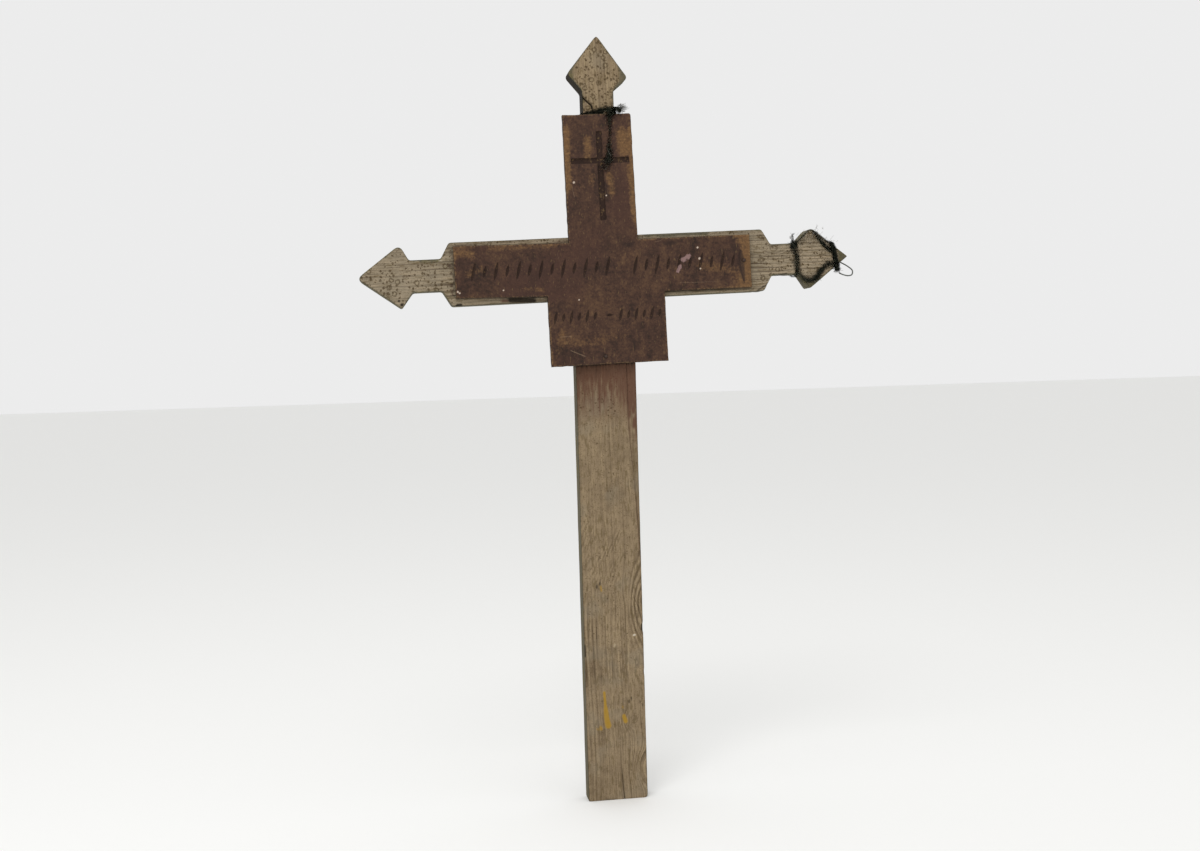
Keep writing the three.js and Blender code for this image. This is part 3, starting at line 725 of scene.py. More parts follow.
across_lines = lines_between(BOARD_LINES, BOARD_CELL)
up_lines = lines_between(BOARD_ROWS, BOARD_CELL)
columns_at = [int(np.argmin(abs(across_lines - mark))) for mark in BOARD_LINES]
rows_at = [int(np.argmin(abs(up_lines - mark))) for mark in BOARD_ROWS]
number = np.arange(len(across_lines) * len(up_lines)).reshape(len(across_lines), len(up_lines))
middle_a = (across_lines[:-1] + across_lines[1:])[:, None] / 2
middle_b = (up_lines[:-1] + up_lines[1:])[None, :] / 2
on_board = (
    (middle_b > BOARD_ROWS[1]) & (middle_b < BOARD_ROWS[2])
    | (middle_b > BOARD_ROWS[2]) & (middle_a > BOARD_LINES[2]) & (middle_a < BOARD_LINES[3])
    | (middle_b < BOARD_ROWS[1]) & (middle_a > BOARD_LINES[1]) & (middle_a < BOARD_LINES[4])
)
cells = np.stack([number[:-1, :-1], number[1:, :-1], number[1:, 1:], number[:-1, 1:]], -1)[on_board]

# The rim as one loop of grid points, anticlockwise from the block's lower left corner.
walk = [
    (1, 0), (4, 0), (4, 1), (5, 1), (5, 2), (3, 2), (3, 3), (2, 3), (2, 2), (0, 2), (0, 1), (1, 1), (1, 0),
]
corners_at = [(columns_at[i], rows_at[j]) for i, j in walk]


def grid_run(start, end):
    """The grid points from one corner to the next, without the last."""
    way = np.subtract(end, start)
    along = np.arange(abs(way).max())
    return number[start[0] + np.sign(way[0]) * along, start[1] + np.sign(way[1]) * along]


rim_loop = np.concatenate([grid_run(p, q) for p, q in zip(corners_at, corners_at[1:])])
used, packed = np.unique(np.concatenate([cells.ravel(), rim_loop]), return_inverse=True)
cells, rim_loop = packed[: cells.size].reshape(-1, 4), packed[cells.size:]
a, b = across_lines[used // len(up_lines)], up_lines[used % len(up_lines)]

edge = np.full(a.shape, 1e9)
for (i, j), (m, n) in zip(walk, walk[1:]):
    low_a, high_a = sorted((BOARD_LINES[i], BOARD_LINES[m]))
    low_b, high_b = sorted((BOARD_ROWS[j], BOARD_ROWS[n]))
    edge = np.minimum(edge, np.hypot(a - np.clip(a, low_a, high_a), b - np.clip(b, low_b, high_b)))

# The depth of the cuts: the small cross, the two rows of strokes, the dash, a dimple round each nail
# and a crack through the right nail's hole.
groove, half_groove = CROSS_GROOVE, CROSS_GROOVE["width"] / 2
ragged = 0.35 * hills(a, b, 51, 2.2, 2.2)
upright = ramp(abs(a - groove["middle"]) + ragged, half_groove, half_groove - 1.2)
upright = upright * zone(b, groove["low"] - 0.5, groove["low"] + 1, groove["high"] - 1, groove["high"] + 0.5)
beam = ramp(abs(b - groove["beam"]) + ragged, half_groove - 0.3, half_groove - 1.5)
beam = beam * zone(a, groove["left"] - 0.5, groove["left"] + 1, groove["right"] - 1, groove["right"] + 0.5)
cut = groove["depth"] * np.maximum(upright, beam)
for row, depth in ((FIRST_ROW, 1), (SECOND_ROW, 0.8)):
    for first, count in row["groups"]:
        for i in range(count):
            middle = (first + i * row["pitch"], row["middle"])
            length = row["height"] * (SHORT_STROKE if i % 2 else 1)
            stroke = stroke_depth(a, b, *middle, length, STROKE["width"], STROKE["lean"])
            cut = np.maximum(cut, depth * stroke)
dash = (DASH["middle"], SECOND_ROW["middle"], DASH["length"], DASH["width"], math.pi / 2)
cut = np.maximum(cut, stroke_depth(a, b, *dash))
for nail_a, nail_b in NAILS:
    cut = np.maximum(cut, NAIL_DIMPLE * ramp(np.hypot(a - nail_a, b - nail_b), 4.2, 1.5))
nail_crack = near_line(a, b, NAIL_CRACK, 1.0)
cut = cut + 0.5 * nail_crack * ramp(cut, 0.6, 0.2)

worn = 0.25 + 0.2 * hills(a, b, 52, 9, 9)
sunk = cut + 0.06 * (hills(a, b, 53, 30, 4) + 1) + 0.1 * (hills(a, b, 54, 60, 40) + 1)
sunk = sunk + ramp(edge, 1.5, 0) ** 2 * (0.55 + worn)
place_a = a + np.where(edge < 0.4, 0.3 * hills(b, a, 55, 7, 90), 0)
place_b = b + np.where(edge < 0.4, 0.3 * hills(a, b, 56, 7, 90), 0)
for i, j, inward, setback in BOARD_CORNERS:
    corner, broken = (BOARD_LINES[i], BOARD_ROWS[j]), setback == BROKEN_CORNER
    place_a, place_b = ease_corner(place_a, place_b, corner, inward, setback, broken)

# The edges aren't quite square: the arm's edges and the head's sides lean a little.
near_top = np.interp(b, [0, BOARD_ROWS[2], 70], [0, 1, 0])
near_low = np.interp(b, [-70, BOARD_ROWS[1], 0], [0, 1, 0])
arm_top = np.interp(a, [BOARD_LINES[0], BOARD_LINES[2], BOARD_LINES[3]], [*BOARD_SKEW["arm_top"], 0])
arm_low = np.interp(a, [BOARD_LINES[i] for i in (0, 1, 4, 5)], BOARD_SKEW["arm_low"])
up_head = np.clip((b - BOARD_ROWS[2]) / (BOARD_ROWS[3] - BOARD_ROWS[2]), 0, 1)
place_a = place_a + up_head * np.interp(a, BOARD_LINES[2:4], BOARD_SKEW["head"])
place_b = place_b + near_top * arm_top + near_low * arm_low
top = np.stack([place_a, BOARD_FRONT + sunk, place_b], 1)

# The walls go down from the rim in steps, and one face closes the back.
rim_top = top[rim_loop]
walls = [rim_top * (1, 0, 1) + (0, BOARD_FRONT + depth, 0) for depth in WALL_DEPTHS]
flat = np.concatenate([top, *walls])
around = len(rim_loop)
loops = [rim_loop, *(len(top) + level * around + np.arange(around) for level in range(len(walls)))]
wall_quads = [
    np.stack([np.roll(near, -1), near, far, np.roll(far, -1)], 1) for near, far in zip(loops, loops[1:])
]
faces = [*cells.tolist(), *np.concatenate(wall_quads).tolist(), loops[-1][::-1].tolist()]


# What wear and weather left on its face.
BOARD_WEAR = [
    (0.8, 9, (33, 172), (36, 150)), (0.45, 5, (41, 130), (43, 60)), (0.55, 8, (-12, 165), (-14, 143)),
    (0.6, 7, (14, 118), (16, 96)), (0.7, 4.5, (-39, 172), (-40, 104)), (0.4, 6, (-8, 120), (-10, 108)),
    (0.5, 2.6, (44, 178), (43, 70)), (0.35, 5, (-34, 196), (-40, 178)), (0.35, 9, (-50, -98), (20, -92)),
    (0.5, 8, (-188, 24), (-172, 24)), (0.5, 8, (-176, -2), (-160, 4)), (0.45, 10, (128, -5), (172, -12)),
    (0.4, 8, (-70, -118), (-60, -84)), (0.5, 6, (-104, -24), (-82, -26)), (0.4, 3, (-150, 29), (-60, 30)),
]
WHITE_FLECKS = [
    (-33.6, 110.7, 1), (8.3, 92.4, 0.7), (-132.9, -25.5, 0.7), (-35.3, -41.3, 0.7), (128, 5.3, 1.1),
    (126.1, 19.8, 0.9), (128.6, -7.9, 0.7), (-191, -25, 1), (-188, -26.5, 0.7),
]
PINK_FLECKS = [(1, 4.6, (106, 5), (114, 9)), (1, 3.4, (98, -10), (102, -4))]
NAIL_STAIN = [(184.1, 13), (183.6, 0), (185, -14), (187, -26)]
SCRATCHES = [
    (1, 0.7, (-50.3, -106.1), (-31.1, -115)), (1, 0.6, (-62, -88), (-48, -88)),
    (0.8, 0.7, (-36, 105), (-34, 92)), (0.7, 0.7, (100, -25), (150, -26)),
    (0.7, 0.7, (70, 30), (78, 31)), (0.6, 0.7, (-60, 22), (-58, 10)),
]
right_wear = ramp(a, 168, 192) * ramp(edge, 26, 6)
wear = 0.34 * ramp(edge, 5, 0) + 0.95 * right_wear + marks(a, b, BOARD_WEAR)
nail_stain = near_line(a, b, NAIL_STAIN, 4.2 * ramp(abs(b + 4), 30, 4) + 0.6) * ramp(abs(a - 184), 9, 4)
upper_stain = near_line(a, b, [(30, 28), (120, 27)], 5) * ramp(hills(a, b, 57, 30, 9), -0.3, 0.5)
on_face = {
    "cut": cut / STROKE["depth"], "wear": wear, "white": spots(a, b, WHITE_FLECKS, size=1.7),
    "pink": marks(a, b, PINK_FLECKS), "stain": nail_stain + 0.7 * upper_stain,
    "scratch": marks(a, b, SCRATCHES), "edge": np.minimum(edge, 30),
}
with_walls = {
    name: np.concatenate([field, *[field[rim_loop]] * len(walls)]) for name, field in on_face.items()
}


def board_paint():
    """Old brown paint over ochre wood: clouds of worn paint, cuts darkened by dark paint and painted shade,
    painted shade along the rim and on the sides, flecks of white and pink.
    """
    material, start = new_material("board_paint")
    place = start.node("TexCoord", out="Object")
    turned = start.node("Mapping", {"Vector": place, "Rotation": (0, BAR_TILT, 0)})
    grain = start.noise(start.stretched(turned, (40, 900, 900)), 0.5, 3, 0.6)
    drags = start.noise(start.stretched(turned, (500, 500, 150)), 1.0, 3, 0.6)
    clouds = start.noise(place, 24, 5, 0.62)
    blots = start.noise(place, 95, 4, 0.65)
    mottle = start.noise(place, 330, 3, 0.65)
    dust = start.noise(place, 700, 2, 0.65)
    cut, wear, edge = start.field("cut"), start.field("wear"), start.field("edge")
    brown = start.node("ValToRGB", {"Fac": clouds * 0.6 + blots * 0.6 + mottle * 0.4 - 0.3},
                       stops=[(0.34, colour("2c1f18")), (0.72, colour("5c432f")), (0.5, colour("422d23"))])
    brown = brown.under(colour("472f26"), start.noise(place, 11, 3, 0.5).step(0.48, 0.64) * 0.55)
    worn = (wear + clouds * 0.7 + blots * 0.6 + mottle * 0.45 + grain * 0.2 - 1.12).step(0.06, 0.6)
    ochre = start.node("ValToRGB", {"Fac": mottle * 0.7 + grain * 0.3},
                       stops=[(0.3, colour("57412a")), (0.72, colour("86653f")), (0.5, colour("694c2e"))])
    skin = brown.under(ochre, worn * 0.9)
    skin = skin.under(colour("7f6743"), (drags.step(0.6, 0.72) + mottle.step(0.66, 0.76)) * 0.42)
    skin = skin.under(colour("2c201a"), mottle.step(0.4, 0.3) * 0.5)
    skin = skin.times(colour("b8aa98"), dust.step(0.55, 0.75) * 0.5)
    skin = skin.under(colour("8d7450"), edge.step(2.2, 0.6) * mottle.step(0.46, 0.62) * 0.45)
    # Painted shade: the rim of the face and the board's sides, whose walls carry an edge of 0, are darkened.
    skin = skin.under(colour("261b15"), edge.step(0.9, 0.1) * (0.35 + blots * 0.5))
    # The cuts darkened: dark paint and dirt inside, with painted shade on their walls. The next line lightens
    # their bottoms with ochre specks.
    skin = skin.under(colour("26160e"), cut.step(0.02, 0.36) * 0.82)
    skin = skin.under(colour("6b5536"), cut.step(0.5, 0.9) * mottle.step(0.56, 0.68) * 0.75)
    skin = skin.under(colour("2b1d18"), start.field("stain").step(0.15, 0.8) * 0.75)
    skin = skin.under(colour("8f7370"), (start.field("pink") * (mottle * 1.6 + 0.1)).step(0.45, 0.75) * 0.8)
    skin = skin.under(colour("b9a898"), start.field("white").step(0.35, 0.7))
    skin = skin.under(colour("8a735c"), (start.field("scratch") * (mottle + 0.5)).step(0.3, 0.9) * 0.6)
    height = blots * 0.4 + dust * 0.25 + mottle * 0.4 + grain * 0.3 - worn * 0.5
    bump = start.node("Bump", {"Height": height, "Strength": 0.6, "Distance": 0.0006})
    rough = 0.9 - worn * 0.08 - blots * 0.1
    close_material(start, Base_Color=skin, Roughness=rough, Normal=bump, Specular_IOR_Level=0.3)
    return material


board = new_piece("name_board_painted", from_crossing(*flat.T), faces, board_paint(), smooth=50, **with_walls)
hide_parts("name_board")


# Nails
# Two round wire nails hold the board, one near the end of its right arm and one low in the block.
# Their heads are hammered nearly flush and have rusted brown and black.
def rusty_iron():
    """Rust over dark iron, rough where it has flowered."""
    material, start = new_material("rusty_iron")
    place = start.node("TexCoord", out="Object")
    flowers = start.noise(place, 900, 4, 0.6)
    shade = start.node("ValToRGB", {"Fac": flowers},
                       stops=[(0.35, colour("1d1816")), (0.7, colour("5a3a26")), (0.5, colour("33251e"))])
    bump = start.node("Bump", {"Height": flowers, "Strength": 0.6, "Distance": 0.0003})
    rough, bare = flowers.step(0.3, 0.7, 0.5, 0.9), flowers.step(0.5, 0.35)
    close_material(start, Base_Color=shade, Roughness=rough, Metallic=bare * 0.7, Normal=bump)
    return material


iron = rusty_iron()
for name in ("nail_right", "nail_foot"):
    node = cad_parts[name]
    node.data.materials.clear()
    node.data.materials.append(iron)


# Top ribbon
# A torn strip of black gauze, tied round the neck just above the name board. It is bunched to a
# dark band, knotted at the right with a frayed pale end, and its other end hangs over the board.
STRIP_CELL = 0.7
STRIP_COLUMNS = 41
FRAY_POINTS = 9
FRAY_SIDES = 4
FRAY_RADIUS = 0.17
TOP_BAND_HEIGHT = 906.8
TOP_BAND_LEAN = 0.035
KNOT = (16, -23.6, 906.8)
ALL_ROUND = [265, 225, 185, 180, 175, 135, 95, 90, 85, 45, 5, 0, -5, -45, -85]


def hoop(half_u, half_v, angles, clear=0.9, corner=2.5):
    """Points round a plank's section, as (u, v, outward u, outward v), at outward directions given
    in degrees. A direction along an axis gives the middle of that side."""
    turned = np.radians(angles)
    out = np.round(np.stack([np.cos(turned), np.sin(turned)], 1), 9)
    return np.hstack([np.sign(out) * (np.array([half_u, half_v]) - corner) + out * (corner + clear), out])


def smooth_route(rows, step):
    """Rows of numbers, points first, resampled along a smooth curve through the points: each
    stretch is a cubic that keeps the slope at both its ends."""
    rows = np.array(rows, float)
    at = np.concatenate([[0], np.cumsum(np.linalg.norm(np.diff(rows[:, :3], axis=0), axis=1))])
    slope = np.gradient(rows, at, axis=0)
    along = np.linspace(0, at[-1], max(int(at[-1] / step), 4))
    k = np.clip(np.searchsorted(at, along, side="right") - 1, 0, len(at) - 2)
    span = (at[k + 1] - at[k])[:, None]
    t = (along - at[k])[:, None] / span
    start = (2 * t ** 3 - 3 * t ** 2 + 1) * rows[k] + (t ** 3 - 2 * t ** 2 + t) * span * slope[k]
    end = (3 * t ** 2 - 2 * t ** 3) * rows[k + 1] + (t ** 3 - t ** 2) * span * slope[k + 1]
    return start + end, along


def unit(vectors):
    """Each vector divided by its own length."""
    return vectors / np.maximum(np.linalg.norm(vectors, axis=-1, keepdims=True), 1e-9)


def gauze_strip(rows, pleats, seed):
    """A strip gathered to pleats along rows of (point, outward direction, spread, cloth, cover): its
    cloth goes into waves whose height makes their length up to its width. The cover is how dense it
    looks, fading to both sides. Gives points, faces, attributes and the area of the cloth."""
    route, along = smooth_route(rows, STRIP_CELL)
    across = STRIP_COLUMNS
    centre, out, spread, cloth, cover = np.split(route, [3, 6, 7, 8], axis=1)
    spread = np.maximum(spread, 1.5)
    cloth = np.maximum(cloth, spread * 1.02)
    way = unit(np.gradient(centre, axis=0))
    side = unit(np.cross(out, way))
    out = np.cross(way, side)
    t = np.linspace(0, 1, across)[None, :]
    s = np.broadcast_to(along[:, None], (len(along), across))
    drift = 0.16 * hills(s, t * 9, seed, 9, 3.1) + 0.1 * hills(s, t * 9, seed + 1, 3.5, 2.3)
    phase = 2 * math.pi * pleats * (t + drift)
    height = np.sqrt(cloth ** 2 - spread ** 2) / (4.2 * pleats)
    height = height * (1 + 0.35 * hills(s, t, seed + 2, 7, 5))
    lateral = (t - 0.5) * spread + 0.5 * hills(s, t * 9, seed + 3, 2.5, 2) + 0.35 * np.cos(2 * phase)
    lift = height * (np.sin(phase) + 1) + 0.2 * (1 + hills(s, t * 9, seed + 4, 2.2, 1.2))
    points = centre[:, None] + side[:, None] * lateral[..., None] + out[:, None] * lift[..., None]
    number = np.arange(points[..., 0].size).reshape(points.shape[:2])
    faces = np.stack([number[:-1, :-1], number[:-1, 1:], number[1:, 1:], number[1:, :-1]], -1).reshape(-1, 4)
    end = np.minimum(s, along[-1] - s)
    beside = abs(2 * t - 1) + 0.12 * hills(s, t, seed + 5, 2.6, 5)
    cover = cover * ramp(beside, 1.05, 0) * ramp(end, 0, 5)
    fields = {"weft": s.ravel(), "warp": (t * cloth).ravel(), "cover": cover.ravel()}
    one_side, other_side = points[1:, :-1] - points[:-1, :-1], points[:-1, 1:] - points[:-1, :-1]
    area = np.linalg.norm(np.cross(one_side, other_side), axis=-1).sum()
    return points.reshape(-1, 3), faces, fields, float(area)


def knot_turns(middle, size, start, pitch, until, cloth, along_x=False):
    """Rows of a strip wound round a knot: a helix of two radii about the upright axis, or about x,
    from its start and by one millimetre per pitch in degrees. Each row faces out from the axis."""
    rows = []
    for turn in np.arange(0, until, 45):
        side, forward = math.sin(math.radians(turn)), -math.cos(math.radians(turn))
        on = start - turn / pitch
        move = (on, size[1] * forward, size[0] * side) if along_x else (size[0] * side, size[1] * forward, on)
        out = (0, forward, side) if along_x else (side, forward, 0)
        rows.append((*np.add(middle, move), *out, *cloth))
    return rows


def joined_strips(strips):
    """Several strips of one ribbon as one set of points, faces and attributes, and their area."""
    starts = np.cumsum([0] + [len(points) for points, *_ in strips[:-1]])
    faces = np.concatenate([faces + start for (_, faces, *_), start in zip(strips, starts)])
    fields = {name: np.concatenate([strip[2][name] for strip in strips]) for name in strips[0][2]}
    return np.concatenate([strip[0] for strip in strips]), faces, fields, sum(strip[3] for strip in strips)


def tubes(routes, radius, sides):
    """Closed round tubes along routes that have as many points each, from an array (tube, point,
    3). The radius may differ from point to point."""
    way = unit(np.gradient(routes, axis=1))
    lean = unit(np.cross(way, np.array([0.31, 0.17, 0.94])))
    rise = np.cross(way, lean)
    turn = np.arange(sides) * 2 * math.pi / sides
    ring = np.cos(turn)[:, None] * lean[:, :, None] + np.sin(turn)[:, None] * rise[:, :, None]
    size = np.broadcast_to(radius, routes.shape[:2])[..., None, None]
    points = routes[:, :, None] + ring * size
    number = np.arange(points[..., 0].size).reshape(points.shape[:3])
    after = np.roll(number, -1, 2)
    skin = np.stack([number[:, :-1], after[:, :-1], after[:, 1:], number[:, 1:]], -1).reshape(-1, 4)
    caps = [*number[:, 0, ::-1].tolist(), *number[:, -1].tolist()]
    return points.reshape(-1, 3), skin.tolist() + caps


def frays(tufts, seed):
    """Loose threads: for each tuft of (root, spread of roots, way, length, count, paleness), curling
    threads that leave the root by about the way. Gives points, faces and paleness."""
    chance = np.random.default_rng(seed)
    routes, pale = [], []
    t = np.linspace(0, 1, FRAY_POINTS)[:, None]
    for root, loose, way, length, count, paleness in tufts:
        for _ in range(count):
            begin = np.array(root) + chance.normal(0, 1, 3) * np.array(loose)
            going = unit(np.array(way) + chance.normal(0, 0.45, 3))
            bend, curl = chance.normal(0, 0.4, 3), chance.uniform(0, 6.28, 3)
            reach = length * chance.uniform(0.35, 1)
            wave = 0.07 * np.sin(t * chance.uniform(4, 10) + curl)
            routes.append(begin + reach * (t * going + t ** 2 * bend + wave * t))
            pale.append(np.clip(paleness + chance.normal(0, 0.15), 0, 1))
    points, faces = tubes(np.array(routes), FRAY_RADIUS, FRAY_SIDES)
    return points, faces, np.repeat(pale, FRAY_POINTS * FRAY_SIDES)


def black_gauze():
    """Thin black net: a weave of fine threads with gaps between them, thinner where it is torn."""
    material, start = new_material("black_gauze")
    warp, weft, cover = start.field("warp"), start.field("weft"), start.field("cover")
    place = start.node("TexCoord", out="Object")
    clouds = start.noise(place, 300, 3, 0.6)
    threads = (warp * 7.0).maths("SINE").most((weft * 7.0).maths("SINE"))
    seen = cover * threads.step(-0.2, 0.7, 0.85, 1.05) * clouds.step(0.3, 0.6, 0.8, 1.1)
    seen = seen.maths("MAXIMUM", 0.0, clamp=True)
    shade = start.node("ValToRGB", {"Fac": clouds},
                       stops=[(0.35, colour("141511")), (0.75, colour("25271f"))])
    close_material(start, Base_Color=shade, Roughness=0.95, Alpha=seen, Specular_IOR_Level=0.05)
    return material


def loose_thread():
    """Single threads, black where they are fresh and bleached grey at the frayed ends."""
    material, start = new_material("loose_thread")
    black, bleached = colour("1b1a18"), colour("b4afa5")
    shade = start.node("Mix", {0: start.field("pale"), 6: black, 7: bleached}, out=2, data_type="RGBA")
    close_material(start, Base_Color=shade, Roughness=0.9, Specular_IOR_Level=0.15)
    return material


gauze, thread = black_gauze(), loose_thread()

# Rows of the strip, each (point, outward direction, spread, cloth, cover): the free end, the knot,
# the turn round the neck, through the knot again and down over the board.
rows = [
    (38.5, -14.8, 912.4, 0, -1, 0.2, 13, 15, 0.5), (32, -15.4, 912.6, 0, -1, 0.1, 13, 17, 0.62),
    (26, -17, 911, 0, -1, 0, 10, 18, 0.8),
    *knot_turns(KNOT, (4.2, 2.4), 9, 26, 400, (13, 20, 1.2), along_x=True),
    (3, -17, 907.8, 0, -1, 0, 12.5, 18, 1.3), (-4, -15.4, 907.2, 0, -1, 0, 10, 17, 1.25),
    (-12, -15, 906.2, 0, -1, 0, 7.6, 14, 1),
]
turn = np.arange(len(ALL_ROUND))
spreads = np.interp(turn, [0, 1, 4, 12, 14], [4, 3.4, 6, 7, 8])
cloths = np.interp(turn, [0, 1, 3, 12, 14], [10, 9, 14, 16, 18])
for spread, cloth, (x, y, *out) in zip(spreads, cloths, hoop(NECK_WIDTH / 2, PLANK_HALF, ALL_ROUND)):
    rows.append((x, y, TOP_BAND_HEIGHT + TOP_BAND_LEAN * x - 0.8, *out, 0, spread, cloth, 0.85))
rows += [
    (19, -16.6, 908.4, 0.2, -1, 0, 11, 18, 0.9), (15, -22.8, 907.4, 0, -1, 0.2, 12, 18, 0.95),
    (12.6, -23.4, 899, 0, -1, 0, 12, 16, 0.85), (12.8, -23, 891, 0, -1, 0, 8.5, 12, 0.66),
    (13, -22.9, 882, 0, -1, 0, 6, 10, 0.52), (12, -22.9, 871, 0, -1, 0, 6, 10, 0.55),
    (11.2, -22.9, 862, 0, -1, 0, 10, 15, 0.85), (10.8, -22.9, 852, 0, -1, 0, 13.5, 19, 1.1),
    (9.2, -22.9, 843, 0, -1, 0, 15, 19, 0.9), (5.6, -22.9, 836, 0, -1, 0, 17, 19, 0.55),
    (3, -22.9, 828, 0, -1, 0, 14, 15, 0.4),
]
points, faces, fields, area = gauze_strip(rows, pleats=4, seed=61)
top_ribbon = new_piece("top_gauze", points, faces, gauze, smooth=80, **fields)
top_length = fields["weft"].max()
points, faces, pale = frays([
    ((29, -15, 912), (3, 0.6, 3.4), (0.8, -0.1, 0.25), 6, 60, 0.35),
    ((15, -19.5, 910), (6, 1.5, 2), (0.1, -0.2, 0.8), 4, 30, 0.1),
    ((-10, -15, 906.4), (5, 0.3, 0.8), (-0.7, -0.1, 0.25), 4, 14, 0.1),
    ((10, -23.4, 848), (3, 0.4, 6), (-0.2, -0.1, -0.9), 8, 26, 0.05),
], 71)
top_threads = new_piece("top_threads", points, faces, thread, pale=pale)
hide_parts("top_ribbon")
top_length * MM
area * MM * MM


# Right ribbon
# A second strip on the bar's right spade, in the bar's directions: tied round the neck with a tuft
# above the knot, twisted along the upper edge to a tight band at the tip, and back in a low bow.
ROUND_THE_BACK = [265, 275, 315, 355, 0, 5, 45, 85, 95]
DOWN_THE_FRONT = [135, 175, 180, 185, 225]
ARM_KNOT = (259.8, -15, 18)
TIP_KNOT = (317.8, -14, -15.4)
NECK_TURN = 262.4
TIP_TURN = {"half_up": 14.5, "lean": -0.21, "middle": 2.5}


def across_bar(at, half_up, angles, spread, cloth, cover, lean=0, middle=0):
    """A turn round the bar at a place along it, as rows for a strip: points of a hoop round the
    bar's section, moved along it by the lean for each millimetre up."""
    for through, up, out_through, out_up in hoop(PLANK_HALF, half_up, angles, clear=0.5):
        yield at + lean * up, through, up + middle, 0, out_through, out_up, spread, cloth, cover


def on_front(routes):
    """Rows of a strip that lies against the front, from (along, up, spread, cloth, cover)."""
    return [(along, -14.5, up, 0, -1, 0, *rest) for along, up, *rest in routes]


# The main strip: knot, round the neck, along the upper edge, twice round the tip, knotted again and
# back in a low bow.
rows = [
    (262.8, -14.8, 34, 0, -1, 0.3, 2.4, 4, 0.3), (258.6, -15, 32, 0, -1, 0.2, 2.6, 4, 0.42),
    (257.8, -15.4, 26, 0, -1, 0.2, 4, 7, 0.7), *knot_turns(ARM_KNOT, (3.6, 1.6), 1.5, 90, 320, (13, 18, 1.2)),
    *on_front([(261.4, 8, 13.5, 14, 0.62), (261, -4, 13, 13.5, 0.56)]),
    *across_bar(NECK_TURN, NECK_WIDTH / 2, [185, 225, *ROUND_THE_BACK], 8, 8.6, 0.8),
    *on_front([
        (265, 22.6, 5, 8, 0.5), (272, 29.2, 4, 7, 0.4), (279.4, 35, 3.4, 6, 0.4), (285.6, 36.2, 4, 7, 0.5),
        (290.4, 33.4, 5, 8, 0.6), (297, 27.8, 5, 8, 0.5), (305.4, 21.4, 5, 8, 0.6),
    ]),
    *across_bar(315.6, angles=DOWN_THE_FRONT, spread=9.4, cloth=18, cover=1.3, **TIP_TURN),
    *across_bar(316.4, angles=ROUND_THE_BACK, spread=7, cloth=15, cover=0.95, **TIP_TURN),
    *across_bar(315.6, angles=DOWN_THE_FRONT[:4], spread=9.4, cloth=18, cover=1.3, **TIP_TURN),
    *knot_turns(TIP_KNOT, (2.6, 1.8), 2.5, 80, 400, (12, 18, 1.3)),
    *on_front([
        (314, -8.6, 12, 14, 0.62), (307.4, -9.6, 11.5, 14, 0.68), (300.8, -13, 12, 15, 0.95),
        (294.8, -18.8, 12, 16, 1.15), (289, -25.4, 12.5, 17, 1.15), (283, -29.4, 12, 15, 1.1),
        (275.4, -29.6, 12, 15, 0.95), (269, -25.6, 12, 14, 0.8), (265.8, -20, 10.5, 12, 0.6),
        (265, -12, 8, 10, 0.6), (264.4, -2, 7.6, 10, 0.62), (262.4, 9, 9, 11, 0.85),
    ]),
]
main = gauze_strip(rows, pleats=4, seed=62)

# Torn strands of it: one inside the upper edge, a thin veil over the upper corner, and a web in
# the angle between the bow and the tip's band.
inner = gauze_strip(on_front([
    (286, 35, 4, 5, 0.5), (291.4, 29.6, 5, 7, 0.7), (297, 21.8, 6.4, 9, 1.0), (304.6, 12.6, 6.4, 9, 1.1),
    (313.4, 4.6, 7, 9, 1.1),
]), pleats=3, seed=66)
veil = gauze_strip(on_front([
    (266.5, 17, 8, 9, 0.3), (272, 22.4, 9, 10, 0.26), (280, 28.4, 11, 12, 0.26), (288, 27, 11, 12, 0.26),
    (296.4, 21, 8, 9, 0.3), (304, 15, 7, 8, 0.4), (311, 9, 8, 9, 0.5),
]), pleats=3, seed=68)
web = gauze_strip(on_front([
    (300, -6, 5, 7, 0.4), (305, -8, 9, 11, 0.5), (311, -9.4, 12, 14, 0.55), (317, -10.6, 12, 14, 0.6),
]), pleats=3, seed=69)
points, faces, fields, area = joined_strips([main, inner, veil, web])
arm_ribbon = new_piece("arm_gauze", from_crossing(*points.T), faces, gauze, smooth=80, **fields)
arm_length = fields["weft"].max()
points, faces, pale = frays([
    ((260, -15, 26), (2.4, 0.8, 3), (0, -0.1, 1), 6, 14, 0.4),
    ((258, -16, 18), (2, 1, 2.5), (-0.5, -0.2, 0.5), 4, 14, 0.1),
    ((272, -14.8, 29.6), (5, 0.3, 4.6), (0.6, -0.05, 0.6), 5, 16, 0.75),
    ((292, -14.6, 31), (6, 0.4, 4.4), (0.6, -0.1, 0.5), 6, 26, 0.5),
    ((308, -14.6, 19), (5, 0.4, 4), (0.5, -0.1, 0.6), 6, 24, 0.45),
    ((278, -15, -30), (6, 0.3, 2), (0.2, -0.1, -0.9), 4, 14, 0.1),
    ((319, -15, -16), (3, 1.5, 2.4), (0.5, -0.2, -0.5), 5, 16, 0.1),
], 72)
arm_threads = new_piece("arm_threads", from_crossing(*points.T), faces, thread, pale=pale)
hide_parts("arm_ribbon")
arm_length * MM
area * MM * MM


# Wire
# A stiff loop of thin grey wire that comes from behind the right tip, turns back in the open and
# ends under the ribbon's dark clump.
WIRE_RADIUS = 0.88
WIRE_ROUTE = [
    (322, 17.6, 3), (328, 16.4, -2.6), (334, 12, -7), (340, 6.5, -12), (345, 1, -19),
    (342.5, -3, -24.4), (336, -6, -25.8), (329, -8, -24.4), (322.6, -10, -22),
]


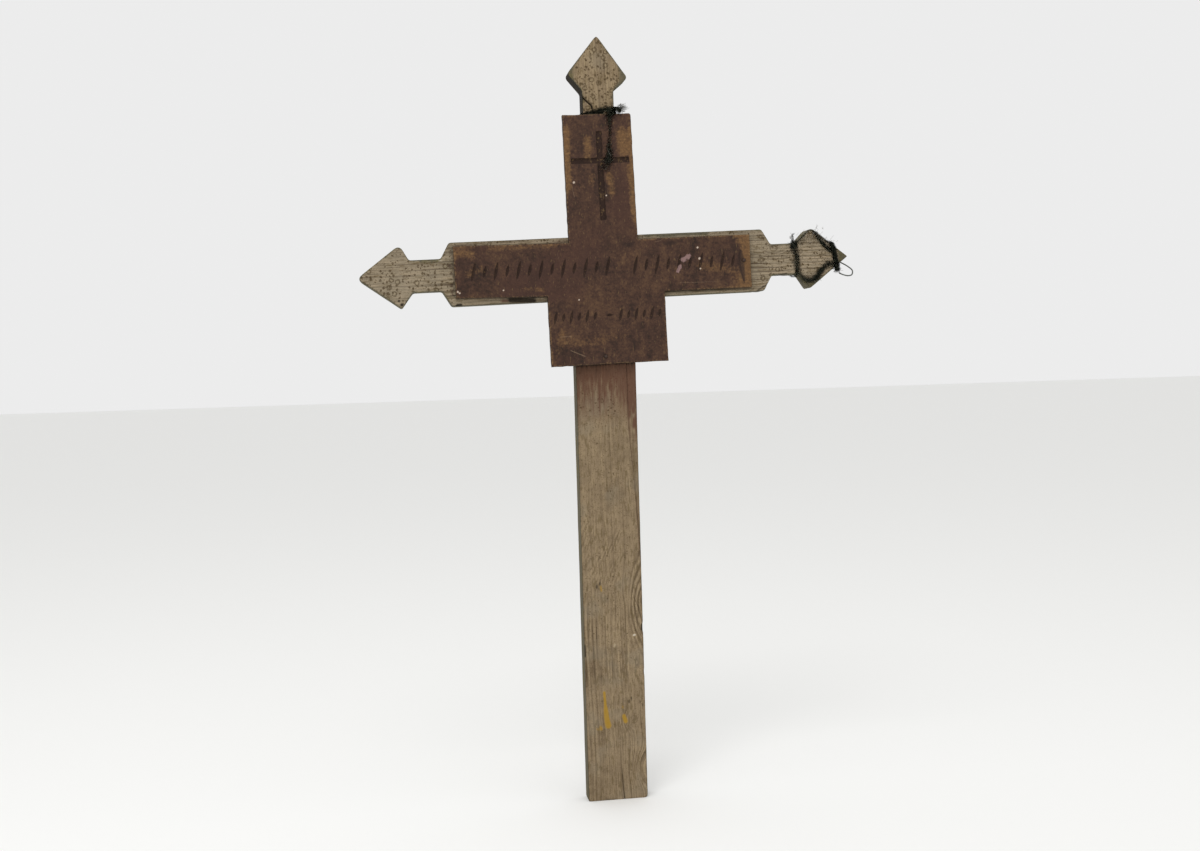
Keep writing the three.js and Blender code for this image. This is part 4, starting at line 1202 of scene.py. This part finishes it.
def dull_wire():
    """Galvanised wire gone dull, with spots of rust."""
    material, start = new_material("dull_wire")
    place = start.node("TexCoord", out="Object")
    rust = start.noise(place, 500, 3, 0.6).step(0.55, 0.65)
    shade = start.node("Mix", {0: rust, 6: colour("5c605b"), 7: colour("4a3b31")}, out=2, data_type="RGBA")
    close_material(start, Base_Color=shade, Roughness=rust.step(0, 1, 0.45, 0.8), Metallic=0.5 - rust * 0.4)
    return material


route, _ = smooth_route(WIRE_ROUTE, 0.6)
points, faces = tubes(route[None], WIRE_RADIUS, 12)
wire = new_piece("wire_loop", from_crossing(*points.T), faces, dull_wire(), smooth=80)
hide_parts("ribbon_wire")


# Floor and light
# A plain pale floor under the foot, a white surround and one broad soft lamp above the front.
FLOOR_HALF = 30
LAMP_PLACE = Vector((-0.8, -1.7, 3.1))
LAMP_AIM = Vector((0, 0, 0.6))
LAMP_WIDTH = 1.6
LAMP_WATTS = 34
SURROUND_STRENGTH = 0.84
corners = [(FLOOR_HALF * x, FLOOR_HALF * y, 0) for x, y in ((-1, -1), (1, -1), (1, 1), (-1, 1))]
floor_mesh = bpy.data.meshes.new("floor")
floor_mesh.from_pydata(corners, [], [(0, 1, 2, 3)])
floor_finish, start = new_material("floor_finish")
close_material(start, Base_Color=colour("f4f4f2"), Roughness=0.9, Specular_IOR_Level=0.1)
floor_mesh.materials.append(floor_finish)
floor = bpy.data.objects.new("floor", floor_mesh)
bpy.context.scene.collection.objects.link(floor)

lamp = bpy.data.objects.new("soft_lamp", bpy.data.lights.new("soft_lamp", "AREA"))
lamp.data.shape = "DISK"
lamp.data.size = LAMP_WIDTH
lamp.data.energy = LAMP_WATTS
lamp_turn = (LAMP_AIM - LAMP_PLACE).to_track_quat("-Z", "Y").to_matrix().to_4x4()
lamp.matrix_world = Matrix.Translation(LAMP_PLACE) @ lamp_turn
bpy.context.scene.collection.objects.link(lamp)

world = bpy.data.worlds.new("surround")
world.use_nodes = True
surround = world.node_tree.nodes["Background"]
surround.inputs["Color"].default_value = (1, 1, 1, 1)
surround.inputs["Strength"].default_value = SURROUND_STRENGTH
bpy.context.scene.world = world
bpy.context.scene.view_settings.view_transform = "Standard"
